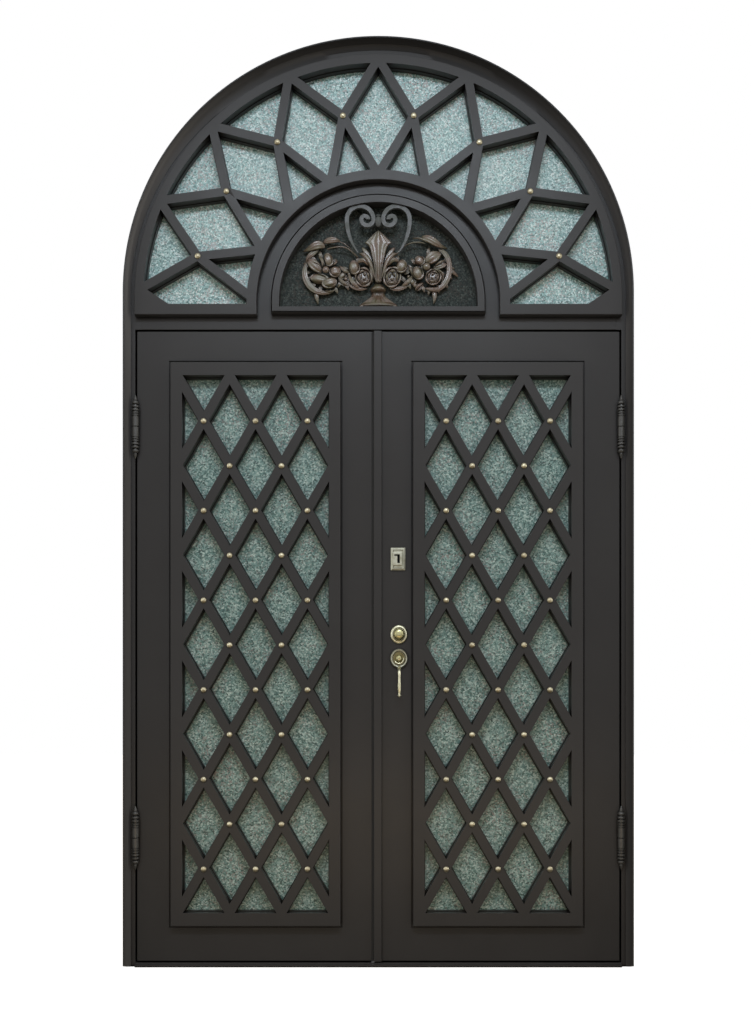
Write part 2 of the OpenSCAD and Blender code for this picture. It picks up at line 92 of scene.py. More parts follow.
def chooseEdges(ob, test, sharp=25):  # free edges, and those bent by more than so many degrees
    bent = lambda edge: not edge.is_manifold or edge.calc_face_angle(0) > math.radians(sharp)
    choose(ob, "EDGE", lambda edge: bent(edge) and test(edge.verts[0].co, edge.verts[1].co))


def chooseCorners(ob, test):
    choose(ob, "VERT", lambda vert: test(vert.co))


def near(a, b):
    return abs(a - b) < hair


def aroundAt(at):  # degrees round the upright axis, from the front
    return math.degrees(math.atan2(at.x, -at.y))


def terrace(steps):  # the chosen faces go in from their edge, then down or up, step by step
    for inset, depth in steps:
        bpy.ops.mesh.inset(thickness=inset)
        if depth:
            shift(y=depth)


def push(x=0, y=0, z=0):
    bpy.ops.mesh.extrude_region_move(TRANSFORM_OT_translate={"value": (x, y, z)})


def pullEdges(x=0, y=0, z=0):
    bpy.ops.mesh.extrude_edges_move(TRANSFORM_OT_translate={"value": (x, y, z)})


def shift(x=0, y=0, z=0):
    bpy.ops.transform.translate(value=(x, y, z))


def cutLine(at, normal, clear=False, fill=False):
    select()
    bpy.ops.mesh.bisect(plane_co=at, plane_no=normal, clear_outer=clear, use_fill=fill, threshold=hair)


def turnPart(angle, at, axis="Y"):
    bpy.ops.transform.rotate(value=angle, orient_axis=axis, center_override=at)


def resizePart(size, at):
    bpy.ops.transform.resize(value=size, center_override=at)


def soften(width, steps=2):
    bpy.ops.mesh.bevel(offset=width, segments=steps, profile=0.5, affect="EDGES", clamp_overlap=True)


def softened(ob, width, test=lambda a, b: True, steps=2, sharp=25):
    edit(ob)
    chooseEdges(ob, test, sharp)
    soften(width, steps)
    done()
    return ob


def tidyUp():
    select()
    bpy.ops.mesh.remove_doubles(threshold=hair)
    bpy.ops.mesh.normals_make_consistent(inside=False)


def placed(name, size=(1, 1, 1)):
    ob = bpy.context.object
    ob.name, ob.scale = name, size
    bpy.ops.object.transform_apply(location=True, rotation=True, scale=True)
    return ob


def block(name, low, high):
    low, high = Vector(low), Vector(high)
    letGo()
    bpy.ops.mesh.primitive_cube_add(size=1, location=(low + high) / 2)
    return placed(name, high - low)


def joined(*obs):
    pick(*obs)
    bpy.ops.object.join()
    return obs[0]


def copied(ob, name, at=(0, 0, 0), size=(1, 1, 1), turn=0):
    pick(ob)
    bpy.ops.object.duplicate()
    other = bpy.context.object
    other.location = at
    other.rotation_euler = (0, -math.radians(turn), 0)
    return placed(name, size)


def mirrored(ob, name):
    other = copied(ob, name)
    edit(other)
    select()
    bpy.ops.transform.mirror(constraint_axis=(True, False, False), center_override=(0, 0, 0))
    bpy.ops.mesh.normals_make_consistent(inside=False)
    done()
    return other


def modify(ob, kind, **settings):
    pick(ob)
    mod = ob.modifiers.new(kind.lower(), kind)
    for key, value in settings.items():
        setattr(mod, key, value)
    bpy.ops.object.modifier_apply(modifier=mod.name)


def cutAway(ob, tool, keep=False):
    modify(ob, "BOOLEAN", operation="DIFFERENCE", object=tool, solver="EXACT", use_self=True)
    if not keep:
        bpy.data.objects.remove(tool)


def dissolveFlat(ob):
    edit(ob)
    tidyUp()
    select()
    bpy.ops.mesh.dissolve_limited(angle_limit=math.radians(0.3))
    done()


def arched(name, radius, centreZ, footZ, y0, y1, steps=192):
    letGo()
    bpy.ops.mesh.primitive_cylinder_add(vertices=steps, radius=radius, depth=y1 - y0,
                                        location=(0, (y0 + y1) / 2, centreZ), rotation=(math.pi / 2, 0, 0))
    ob = placed(name)
    edit(ob)
    cutLine((0, 0, centreZ), (0, 0, -1), clear=True, fill=True)
    chooseFaces(ob, lambda at, normal: normal.z < -0.9)
    push(z=footZ - centreZ)
    done()
    return ob


def lathe(name, outline, at, steps=32, along="Z", unit=mm):
    letGo()
    bpy.ops.mesh.primitive_plane_add(size=0.01)
    ob = placed(name)
    edit(ob, "VERT")
    select()
    bpy.ops.mesh.merge(type="CENTER")
    last = (0, 0)
    for i, (radius, height) in enumerate((r * unit, h * unit) for r, h in outline):
        step = (radius - last[0], 0, height - last[1])
        if i == 0:
            shift(*step)
        else:
            bpy.ops.mesh.extrude_vertices_move(TRANSFORM_OT_translate={"value": step})
        last = (radius, height)
    select()
    bpy.ops.mesh.spin(steps=steps, angle=2 * math.pi, center=(0, 0, 0), axis=(0, 0, 1))
    tidyUp()
    done()
    ob.rotation_euler = {"Z": (0, 0, 0), "-Y": (math.pi / 2, 0, 0), "Y": (-math.pi / 2, 0, 0)}[along]
    ob.location = at
    return placed(name)


def drawn(name, path, widths, sides=8, flat=0, ribs=0, smooth=1):  # pulls a round or flat bar along a path
    path = [Vector(spot) * mm for spot in path]
    steps = [b - a for a, b in zip(path, path[1:])]
    heads = [math.atan2(step.z, step.x) for step in steps]
    for i in range(1, len(heads)):
        heads[i] += 2 * math.pi * round((heads[i - 1] - heads[i]) / (2 * math.pi))
    turns = heads[:1] + [(a + b) / 2 for a, b in zip(heads, heads[1:])] + heads[-1:]
    wide = widths[0] * mm / 2
    letGo()
    bpy.ops.mesh.primitive_circle_add(vertices=sides, radius=wide, fill_type="NGON", location=path[0],
                                      rotation=(0, math.pi / 2 - turns[0], 0))
    ob = placed(name)
    edit(ob, "VERT")
    if flat:
        select()
        resizePart((1, flat / widths[0], 1), path[0])
    if ribs:
        for share, side in ((0, -1), (0.5, 1), (0.87, -1)):
            chooseCorners(ob, lambda at: at.y <= path[0].y - hair
                          and abs(math.hypot(at.x - path[0].x, at.z - path[0].z) - share * wide) < wide * 0.1)
            shift(y=side * ribs * mm)
    bpy.ops.mesh.select_mode(type="FACE")
    select()
    for i, step in enumerate(steps):
        push(*step)
        turnPart(turns[i + 1] - turns[i], path[i + 1])
        ratio = widths[i + 1] / widths[i]
        resizePart((ratio, 1 if flat else ratio, ratio), path[i + 1])
    tidyUp()
    done()
    if smooth:
        modify(ob, "SUBSURF", levels=smooth, render_levels=smooth)
    return ob


def keepPiece(ob, name, body, slot, material, *nodes, smooth=30):
    ob.name = ob.data.name = name
    if not any(ob.data.materials):
        ob.data.materials.append(material)
    pick(ob)
    bpy.ops.object.shade_smooth_by_angle(angle=math.radians(smooth))
    modify(ob, "WEIGHTED_NORMAL", keep_sharp=True, weight=50)
    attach(ob, body)
    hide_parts(*nodes)


class Wire:
    def __init__(self, tree, socket=None):
        self.tree, self.socket = tree, socket

    def node(self, kind, settings=None, sockets=None, out=0):
        made = self.tree.nodes.new("ShaderNode" + kind)
        for key, value in (settings or {}).items():
            if key == "stops":
                stops = made.color_ramp.elements
                while len(stops) < len(value):
                    stops.new(0.5)
                for stop, (place, colour) in zip(stops, value):
                    stop.position, stop.color = place, (*colour, 1)
            else:
                setattr(made, key, value)
        for key, value in (sockets or {}).items():
            if isinstance(value, Wire):
                self.tree.links.new(value.socket, made.inputs[key])
            else:
                made.inputs[key].default_value = value
        return Wire(self.tree, made.outputs[out])

    def maths(self, operation, a, b=0):
        return self.node("Math", {"operation": operation}, {0: a, 1: b})

    def mix(self, a, b):
        return self.node("Mix", {"data_type": "RGBA"}, {0: self, 6: a, 7: b}, out=2)

    def ramp(self, low, high):
        return self.node("MapRange", {}, {"Value": self, "From Min": low, "From Max": high})

    def __add__(self, other):
        return self.maths("ADD", self, other)

    __radd__ = __add__

    def __mul__(self, other):
        return self.maths("MULTIPLY", self, other)

    def __sub__(self, other):
        return self.maths("SUBTRACT", self, other)

    def __pow__(self, other):
        return self.maths("POWER", self, other)


def newFinish(name):
    material = bpy.data.materials.new(name)
    material.use_nodes = True
    material.node_tree.nodes.remove(material.node_tree.nodes["Principled BSDF"])
    start = Wire(material.node_tree)
    return material, start, start.node("TexCoord", out="Object")


def closeFinish(material, start, sockets):
    shader = start.node("BsdfPrincipled", {}, sockets)
    output = material.node_tree.nodes["Material Output"]
    material.node_tree.links.new(shader.socket, output.inputs["Surface"])
    return material


def noise(start, coords, scale, detail=2, rough=0.5, out="Fac"):
    return start.node("TexNoise", {}, {"Vector": coords, "Scale": scale, "Detail": detail, "Roughness": rough}, out)


def bump(start, height, strength, distance):
    return start.node("Bump", {}, {"Height": height, "Strength": strength, "Distance": distance}, "Normal")


def paintFinish(name, look, extra=None):
    material, start, coords = newFinish(name)
    mottle = noise(start, coords, look["mottle"], 4, 0.6).ramp(0.35, 0.65)
    grain = noise(start, coords, look["grain"], 2)
    cloud = noise(start, coords, 14, 3)
    # painted shade: the colour goes to near black within about 11 mm of corners, recesses and joins, where shade falls
    creasePaintedShade = start.node("AmbientOcclusion", {"samples": 6}, {"Distance": 0.011}, "AO").ramp(0.42, 0.88)
    body = mottle.mix((*look["tone"], 1), (*look["shade"], 1))
    body = creasePaintedShade.mix((0.004, 0.004, 0.004, 1), body)
    return closeFinish(material, start, {
        "Base Color": extra(start, coords, body) if extra else body,
        "Roughness": look["rough"] + (cloud - 0.5) * 0.12,
        "Specular IOR Level": look["gloss"],
        "Normal": bump(start, grain, look["orangePeel"], 0.0004),
    })


# painted light and shade of the frame's outer lip; 'dark' is the painted shadow colour
splay = {"edgeR": 0.835, "frontY": -0.0602, "lipY": -0.109, "centreZ": 2.229, "top": 3.069,
         "dark": (0.010, 0.010, 0.011),
         "paintedLightTones": [(0.30, 0.106), (0.62, 0.125), (0.76, 0.200), (0.86, 0.185), (0.905, 0.135),
                   (0.963, 0.070), (1.0, 0.042)]}  # height as a share of the top, and the grey painted there as light on the lip's inside


def splayPaintedLightAndShade(start, coords, body):  # painted light and shade: the inside of the lip is painted paler at the jambs than at the crown, and paler on the left; the lip's front is painted dark towards the crown as its shadow
    x, y, z = (start.node("SeparateXYZ", {}, {"Vector": coords}, axis) for axis in "XYZ")
    rise = z.maths("MAXIMUM", z - splay["centreZ"], 0)
    reach = (x * x + rise * rise) ** 0.5
    inside = (reach.ramp(splay["edgeR"] + 0.0003, splay["edgeR"] - 0.0005)
              * y.ramp(splay["frontY"], splay["frontY"] - 0.001))
    tone = start.node("ValToRGB", {"stops": [(place, (grey, grey * 0.98, grey)) for place, grey in splay["paintedLightTones"]]},
                      {"Fac": z * (1 / splay["top"])}, "Color")
    left = x.ramp(0.5, -0.5)
    share = (y.ramp(splay["lipY"], splay["frontY"]) * 0.5 + 0.5 + left * 0.3) * (left * 0.33 + 0.67)
    deep = share.mix((*splay["dark"], 1), tone)
    lip = y.ramp(splay["lipY"], splay["lipY"] - 0.0008) * z.ramp(2.5, 2.95)
    return lip.mix(inside.mix(body, deep), (*splay["dark"], 1))


def castFinish(name, look):  # painted shade: dark in the hollows, plain on the raised parts
    material, start, coords = newFinish(name)
    # painted shade: ambient occlusion marks the hollows for the near-black 'deep' colour
    hollowPaintedShade = start.node("AmbientOcclusion", {"samples": 8}, {"Distance": look["reach"]}, "AO").ramp(0.25, 0.9)
    patch = noise(start, coords, look["patches"], 4, 0.6).ramp(0.42, 0.6)
    grain = noise(start, coords, look["grain"], 3)
    body = patch.mix((*look["tone"], 1), (*look["second"], 1))
    return closeFinish(material, start, {
        "Base Color": (hollowPaintedShade ** 1.5).mix((*look["deep"], 1), body),
        "Roughness": look["rough"] + patch * 0.14,
        "Specular IOR Level": look["gloss"],
        "Normal": bump(start, grain + noise(start, coords, 140, 3) * 2, 0.35, 0.0006),
    })


def metalFinish(name, tone, shade, patches, rough):
    material, start, coords = newFinish(name)
    tarnish = noise(start, coords, patches, 5, 0.65).ramp(0.4, 0.72)
    scratch = noise(start, coords, 700, 3)
    return closeFinish(material, start, {
        "Base Color": tarnish.mix((*tone, 1), (*shade, 1)),
        "Metallic": 1.0,
        "Roughness": rough + tarnish * 0.15,
        "Normal": bump(start, scratch, 0.12, 0.0002),
    })


def glassFinish(name, look):
    material, start, coords = newFinish(name)
    cell = start.node("TexVoronoi", {}, {"Vector": coords, "Scale": look["grit"]}, "Color")
    red = start.node("SeparateColor", {}, {"Color": cell}, "Red")
    green = start.node("SeparateColor", {}, {"Color": cell}, "Green")
    cloud = noise(start, coords, 9, 3)
    tint = start.node("ValToRGB", {"stops": look["stops"]}, {"Fac": red}, "Color")
    warm = green.ramp(0.72, 0.8).mix(tint, (*look["pink"], 1))
    height = noise(start, coords, look["grit"] * 0.8, 2)
    return closeFinish(material, start, {
        "Base Color": cloud.ramp(0.3, 0.7).mix(warm, tint),
        "Roughness": look["rough"] + red * 0.2,
        "Specular IOR Level": look["gloss"],
        "Normal": bump(start, height, look["relief"], 0.0012),
    })


def rubberFinish(name):
    material, start, coords = newFinish(name)
    dust = noise(start, coords, 60, 4).ramp(0.4, 0.8)
    return closeFinish(material, start, {
        "Base Color": dust.mix((0.012, 0.012, 0.012, 1), (0.03, 0.029, 0.028, 1)),
        "Roughness": 0.75 + dust * 0.15,
        "Normal": bump(start, noise(start, coords, 500), 0.2, 0.0003),
    })


satin = {"tone": (0.0408, 0.04, 0.0416), "shade": (0.036, 0.035, 0.036), "mottle": 2.2, "grain": 900,
         "orangePeel": 0.15, "rough": 0.31, "gloss": 0.17}
steel = paintFinish("satinSteel", satin)
# the steel of the jambs and arch, with light and shade painted on the inside and front of the lip
splayPaintedSteel = paintFinish("splayedSteelPaintedLight", satin, splayPaintedLightAndShade)
hingeSteel = paintFinish("turnedSteel", {"tone": (0.062, 0.062, 0.061), "shade": (0.05, 0.049, 0.047), "mottle": 30,
                                         "grain": 900, "orangePeel": 0.2, "rough": 0.34, "gloss": 0.45})
# the 'deep' colours of slate and bronze are the painted shade in their hollows
slateSteel = castFinish("slateSteel", {
    "tone": (0.085, 0.09, 0.097), "second": (0.07, 0.078, 0.075), "deep": (0.015, 0.017, 0.018),
    "patches": 40, "reach": 0.006, "grain": 700, "rough": 0.42, "gloss": 0.4})
bronze = castFinish("agedBronze", {
    "tone": (0.12, 0.078, 0.056), "second": (0.092, 0.08, 0.044), "deep": (0.006, 0.0045, 0.0035),
    "patches": 26, "reach": 0.018, "grain": 600, "rough": 0.25, "gloss": 0.85})
brass = metalFinish("champagneBrass", (0.60, 0.585, 0.44), (0.38, 0.37, 0.25), 60, 0.3)
plateBrass = metalFinish("brushedBrass", (0.40, 0.40, 0.33), (0.27, 0.265, 0.20), 70, 0.44)
goldBrass = metalFinish("yellowBrass", (0.43, 0.41, 0.23), (0.2, 0.18, 0.08), 40, 0.24)
# painted shade: brass made dark for the shaded floor inside the lever ring, with the same random tarnish as the other
# brasses
brassPaintedShade = metalFinish("tarnishedBrassPaintedShade", (0.16, 0.14, 0.07), (0.07, 0.06, 0.03), 60, 0.4)
studBrass = metalFinish("studBrass", (0.50, 0.46, 0.33), (0.22, 0.18, 0.11), 90, 0.36)
paleGlass = glassFinish("grainedGlass", {
    "grit": 230, "rough": 0.28, "gloss": 0.5, "relief": 0.36, "pink": (0.42, 0.38, 0.38),
    "stops": [(0.0, (0.06, 0.135, 0.13)), (0.3, (0.215, 0.40, 0.40)),
              (0.65, (0.42, 0.63, 0.63)), (1.0, (0.86, 0.96, 0.96))]})
# painted shade: the fan's grained glass again, painted darker for the panes of the leaves
leafGlassPaintedShade = glassFinish("grainedLeafGlassPaintedShade", {
    "grit": 230, "rough": 0.3, "gloss": 0.42, "relief": 0.36, "pink": (0.29, 0.26, 0.25),
    "stops": [(0.0, (0.034, 0.08, 0.074)), (0.3, (0.125, 0.245, 0.23)),
              (0.65, (0.25, 0.395, 0.375)), (1.0, (0.57, 0.70, 0.67))]})
darkGlass = glassFinish("smokedGlass", {
    "grit": 230, "rough": 0.45, "gloss": 0.12, "relief": 0.4, "pink": (0.05, 0.045, 0.04),
    "stops": [(0.0, (0.006, 0.009, 0.008)), (0.35, (0.02, 0.028, 0.026)),
              (0.7, (0.045, 0.056, 0.053)), (1.0, (0.095, 0.112, 0.106))]})
rubber = rubberFinish("doorRubber")
# painted shade: near-black paint for the keyhole's walls and floor, standing in for the shade inside the slot
keyholeShadePaint = paintFinish("keyholePaintedShade", {"tone": (0.012, 0.011, 0.009), "shade": (0.006, 0.006, 0.005), "mottle": 200,
                                       "grain": 900, "orangePeel": 0.2, "rough": 0.6, "gloss": 0.1})
print("finishes ready")


def keepHalves(ob, name, material, node):
    for side, clearSide in (("left", 1), ("right", -1)):
        half = copied(ob, name)
        edit(half)
        cutLine((0, 0, 0), (clearSide, 0, 0), clear=True, fill=True)
        done()
        keepPiece(half, name + side.capitalize(), "frame", "steel", material, node + "_" + side)
    bpy.data.objects.remove(ob)


# outer frame: jambs, arch, sill and transom
section = {"lip": 0.005, "edge": 0.0015, "slope": 0.012, "archSteps": 96, "lipFoot": 0.24,
           "nose": 0.013, "noseTop": 0.004,
           "crown": [(1 / 3, -0.0011, 0.0143), (2 / 3, -0.011, 0.0116), (1, -0.026, 0)]}  # share of slope, rise, depth

working = 0.005  # gap round the leaves
frontY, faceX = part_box("sill")[0].y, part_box("sill")[0].x
stopX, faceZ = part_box("left_jamb")[1].x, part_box("left_jamb")[1].z
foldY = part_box("left_leaf_slab")[1].y + working
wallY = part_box("transom_bar")[0].y


def makeJamb():
    low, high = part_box("left_jamb")
    lipX = low.x + section["lip"]
    ob = block("jamb", (low.x, frontY, low.z), (faceX, foldY, high.z))
    edit(ob)
    cutLine((lipX, 0, 0), (1, 0, 0))
    chooseFaces(ob, lambda at, normal: normal.y < -0.9 and at.x < lipX)
    push(y=low.y - frontY)
    chooseFaces(ob, lambda at, normal: normal.y > 0.9)
    push(y=high.y - foldY)
    chooseFaces(ob, lambda at, normal: normal.x > 0.9 and at.y > foldY)
    push(x=high.x - faceX)
    tidyUp()
    chooseCorners(ob, lambda at: near(at.x, lipX) and near(at.y, frontY))
    shift(x=section["slope"])
    chooseEdges(ob, lambda a, b: near(a.x, b.x) and near(a.y, b.y) and not near(a.x, lipX + section["slope"]))
    soften(section["edge"])
    cutLine((0, frontY, low.z), (0, -section["lipFoot"], -1), clear=True, fill=True)
    done()
    return ob


def makeArch():
    low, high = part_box("arch_left")
    rise = high.z + low.x  # height of the arch's centre
    innerR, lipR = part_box("transom_bar")[1].x, -low.x - section["lip"]
    slopeR = lipR - section["slope"]
    reach = lambda at: math.hypot(at.x, max(at.z - rise, 0))
    letGo()
    bpy.ops.mesh.primitive_plane_add(size=1, location=((innerR - low.x) / 2, (frontY + high.y) / 2, rise))
    ob = placed("arch", (-low.x - innerR, high.y - frontY, 1))
    edit(ob)
    cutLine((lipR, 0, 0), (1, 0, 0))
    chooseEdges(ob, lambda a, b: near(a.y, frontY) and near(b.y, frontY) and (a.x + b.x) / 2 > lipR)
    pullEdges(y=low.y - frontY)
    chooseCorners(ob, lambda at: near(at.x, lipR) and near(at.y, frontY))
    shift(x=-section["slope"])
    chooseEdges(ob, lambda a, b: near(max(a.x, b.x), lipR) and near(min(a.x, b.x), slopeR)
                and near(max(a.y, b.y), frontY), 0)
    bpy.ops.mesh.subdivide(number_cuts=2)
    select()
    bpy.ops.mesh.spin(steps=section["archSteps"], angle=math.pi, center=(0, 0, rise), axis=(0, 1, 0))
    tidyUp()
    chooseFaces(ob, lambda at, normal: near(at.z, rise) and abs(normal.z) > 0.99)
    push(z=low.z - rise)
    tidyUp()
    onSlope = lambda at: low.y + hair < at.y < frontY + hair and reach(at) > slopeR - hair
    chooseEdges(ob, lambda a, b: not (near(a.z, low.z) and near(b.z, low.z)) and near(a.y, b.y)
                and not ((onSlope(a) or onSlope(b)) and reach(a) < lipR + hair), 40)
    soften(section["edge"])
    for share, out, back in section["crown"]:
        radius, y = lipR - section["slope"] * share, low.y + (frontY - low.y) * share
        chooseCorners(ob, lambda at: abs(at.y - y) < 0.0004 and at.z > rise + 0.001
                      and abs(math.hypot(at.x, at.z - rise) - radius) < 0.0006)
        if back:
            turnPart(back / radius, (0, y, rise), "X")
        resizePart((1, 1, 1 + out / radius), (0, y, rise))
    done()
    return ob


def makeTransom():
    low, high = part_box("transom_bar")
    ob = block("transom", (low.x, low.y, faceZ), high)
    edit(ob)
    for x in (stopX, -stopX):
        cutLine((x, 0, 0), (1, 0, 0))
    cutLine((0, foldY, 0), (0, 1, 0))
    chooseFaces(ob, lambda at, normal: normal.z < -0.9 and abs(at.x) < -stopX and at.y > foldY)
    push(z=low.z - faceZ)
    tidyUp()
    chooseEdges(ob, lambda a, b: near(a.y, b.y) and near(a.z, b.z) and a.z < faceZ + hair)
    soften(section["edge"])
    done()
    return ob


def makeSill():
    low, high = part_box("sill")
    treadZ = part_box("left_leaf_slab")[0].z - working
    ob = block("sill", low, (high.x, foldY, treadZ))
    edit(ob)
    for x in (stopX, -stopX):
        cutLine((x, 0, 0), (1, 0, 0))
    chooseFaces(ob, lambda at, normal: normal.y > 0.9 and abs(at.x) < -stopX)
    push(y=high.y - foldY)
    chooseFaces(ob, lambda at, normal: normal.z > 0.9 and at.y > foldY)
    push(z=high.z - treadZ)
    tidyUp()
    cutLine((0, 0, treadZ - section["noseTop"]), (0, 0, 1))
    chooseFaces(ob, lambda at, normal: normal.y < -0.9 and at.z < treadZ - section["noseTop"])
    push(y=-section["nose"])
    tidyUp()
    chooseEdges(ob, lambda a, b: near(a.y, b.y) and near(a.z, b.z) and a.z > treadZ - 0.005 and a.z > hair, 40)
    soften(section["edge"])
    done()
    return ob


jamb = makeJamb()
keepPiece(mirrored(jamb, "jambRight"), "jambRight", "frame", "steel", splayPaintedSteel, "right_jamb")
keepPiece(jamb, "jambLeft", "frame", "steel", splayPaintedSteel, "left_jamb")
keepHalves(makeArch(), "arch", splayPaintedSteel, "arch")
keepPiece(makeTransom(), "transom", "frame", "steel", steel, "transom_bar")
keepPiece(makeSill(), "sillPlate", "frame", "steel", steel, "sill")
print("outer frame done")

# raised panels share their edges
panelEdge = {"holes": 0.0013, "ledge": 0.0028, "rim": 0.0026}


def softenFace(ob, faceY, width):
    softened(ob, width, lambda a, b: near(a.y, faceY) and near(b.y, faceY), sharp=60)


# fan light: bars tied between the crossings and the tips on both bands
fan = {"outerBand": 0.030, "innerBand": 0.033, "bar": 0.028, "step": 22, "tips": 4, "nodeR": 0.6125,
       "rail": 0.035, "rebate": 0.012, "innerR": 0.402, "drop": 0.011, "stopY": 0.003,
       "corner": 0.065, "cornerTall": 0.028}


def spotAt(radius, angle, centreZ):
    return Vector((radius * math.cos(math.radians(angle)), 0, centreZ + radius * math.sin(math.radians(angle))))


def barBetween(p, q, width):
    run = q - p
    letGo()
    bpy.ops.mesh.primitive_cube_add(size=1, location=(p + q) / 2, rotation=(0, -math.atan2(run.z, run.x), 0))
    return placed("bar", (run.length, 0.4, width))


def crescent(name, outer, inner, footZ, centreZ, y0, y1):
    ob = arched(name, outer, centreZ, footZ, y0, y1)
    cutAway(ob, arched("core", inner, centreZ - fan["drop"], footZ - beyond, y0 - beyond, y1 + beyond))
    return ob


def fanBars(outR, inR, centreZ, wide):
    bars = []
    for k in range(fan["tips"] + 1):
        spot = spotAt(fan["nodeR"], 90 - fan["step"] * (k + 0.5), centreZ)
        for tip in (k, k + 1):
            angle = 90 - fan["step"] * tip
            if tip <= fan["tips"]:
                bars.append(barBetween(spot, spotAt(outR + fan["bar"] / 2, angle, centreZ), wide))
            if tip <= fan["tips"] and k < fan["tips"]:
                bars.append(barBetween(spot, spotAt(inR - fan["bar"] / 2, angle, centreZ - fan["drop"]), wide))
    bars = joined(*bars)
    return bars, mirrored(bars, "otherBars")


def makeFan():
    low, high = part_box("fan_frame_left")
    radius = -low.x
    centreZ = high.z - radius
    outR, inR = radius - fan["outerBand"], fan["innerR"] + fan["innerBand"]
    openZ = low.z + fan["rail"]
    glassLow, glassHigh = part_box("fan_glass")
    shapes = []
    for ledge in (0, panelEdge["ledge"]):
        openings = crescent("openings", outR - ledge, inR + ledge, openZ + ledge, centreZ, -0.15, 0.1)
        for bars in fanBars(outR, inR, centreZ, fan["bar"] + 2 * ledge):
            cutAway(openings, bars)
        for side in (-1, 1):
            xs = sorted((side * (radius - fan["corner"]), side * radius))
            cutAway(openings, block("corner", (xs[0], -0.2, low.z), (xs[1], 0.2, openZ + fan["cornerTall"])))
        shapes.append(openings)
    openings, narrow = shapes
    plate = crescent("plate", radius, fan["innerR"], low.z, centreZ, low.y, wallY)
    dissolveFlat(plate)
    softenFace(plate, low.y, panelEdge["rim"])
    cutAway(plate, openings, keep=True)
    grids = []
    wide = fan["rebate"]
    for y0, y1 in ((wallY, glassLow.y), (glassHigh.y, fan["stopY"])):
        grid = crescent("grid", outR + wide, inR - wide, openZ - wide, centreZ, y0, y1)
        cutAway(grid, narrow, keep=True)
        grids.append(grid)
    bpy.data.objects.remove(openings)
    bpy.data.objects.remove(narrow)
    return plate, joined(*grids)


plate, grid = makeFan()
keepHalves(plate, "fanPanel", steel, "fan_frame")
keepHalves(grid, "fanGrid", steel, "fan_lattice")
print("fan light done")

# leaf panels: a raised frame and a diamond lattice cut from one plate, in front and behind
grille = {"bar": 0.030, "pitch": 0.1715, "rows": 12, "cells": 11}


def diamonds(low, high, ledge=0):
    tall = (high.z - low.z) / grille["rows"]
    letGo()
    bpy.ops.mesh.primitive_grid_add(x_subdivisions=grille["cells"], y_subdivisions=grille["cells"],
                                    size=grille["cells"], rotation=(0, 0, math.pi / 4))
    ob = placed("diamonds")
    ob.scale = (grille["pitch"] / math.sqrt(2), tall * math.sqrt(2), 1)
    ob.rotation_euler = (math.pi / 2, 0, 0)
    ob.location = ((low.x + high.x) / 2, 0.1, (low.z + high.z) / 2)
    bpy.ops.object.transform_apply(location=True, rotation=True, scale=True)
    edit(ob)
    select()
    bpy.ops.mesh.inset(thickness=grille["bar"] / 2 + ledge, use_individual=True)
    select("INVERT")
    bpy.ops.mesh.delete(type="FACE")
    for at, normal in (((high.x - ledge, 0, 0), (1, 0, 0)), ((low.x + ledge, 0, 0), (-1, 0, 0)),
                       ((0, 0, high.z - ledge), (0, 0, 1)), ((0, 0, low.z + ledge), (0, 0, -1))):
        cutLine(at, normal, clear=True)
    select()
    push(y=-0.3)
    tidyUp()
    done()
    return ob


def makePanel(name, node, faceY, slabY, openings):
    low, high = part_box(node)
    ob = block(name, (low.x, min(faceY, slabY), low.z), (high.x, max(faceY, slabY), high.z))
    softenFace(ob, faceY, panelEdge["rim"])
    cutAway(ob, openings, keep=True)
    softenFace(ob, faceY, panelEdge["holes"])
    return ob


def makeLeafPanels():
    inLow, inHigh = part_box("left_lattice")
    slabLow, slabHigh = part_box("left_leaf_slab")
    glassLow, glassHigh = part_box("left_glass")
    openings, narrow = diamonds(inLow, inHigh), diamonds(inLow, inHigh, panelEdge["ledge"])
    front = makePanel("front", "left_front_trim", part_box("left_front_trim")[0].y, slabLow.y, openings)
    back = makePanel("back", "left_back_trim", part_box("left_back_trim")[1].y, slabHigh.y, openings)
    grids = []
    for y0, y1 in ((slabLow.y, glassLow.y), (glassHigh.y, slabHigh.y)):
        grid = block("grid", (glassLow.x, y0, glassLow.z), (glassHigh.x, y1, glassHigh.z))
        cutAway(grid, narrow, keep=True)
        grids.append(grid)
    bpy.data.objects.remove(openings)
    bpy.data.objects.remove(narrow)
    return front, back, joined(*grids)


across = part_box("right_front_trim")[0].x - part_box("left_front_trim")[0].x
for ob, part, node in zip(makeLeafPanels(), ("Front", "Back", "Grid"), ("front_trim", "back_trim", "lattice")):
    other = copied(ob, "rightPanel" + part, (across, 0, 0))
    keepPiece(other, other.name, "right_leaf", "steel", steel, "right_" + node)
    keepPiece(ob, "leftPanel" + part, "left_leaf", "steel", steel, "left_" + node)
print("leaf panels done")

# leaf slabs, cover strip
slab = {"edge": 0.0022, "taper": 0.0045, "inner": 0.0055, "outer": 0.010, "above": 0.0125, "below": 0.010,
        "deep": 0.005, "stripEdge": 0.002}


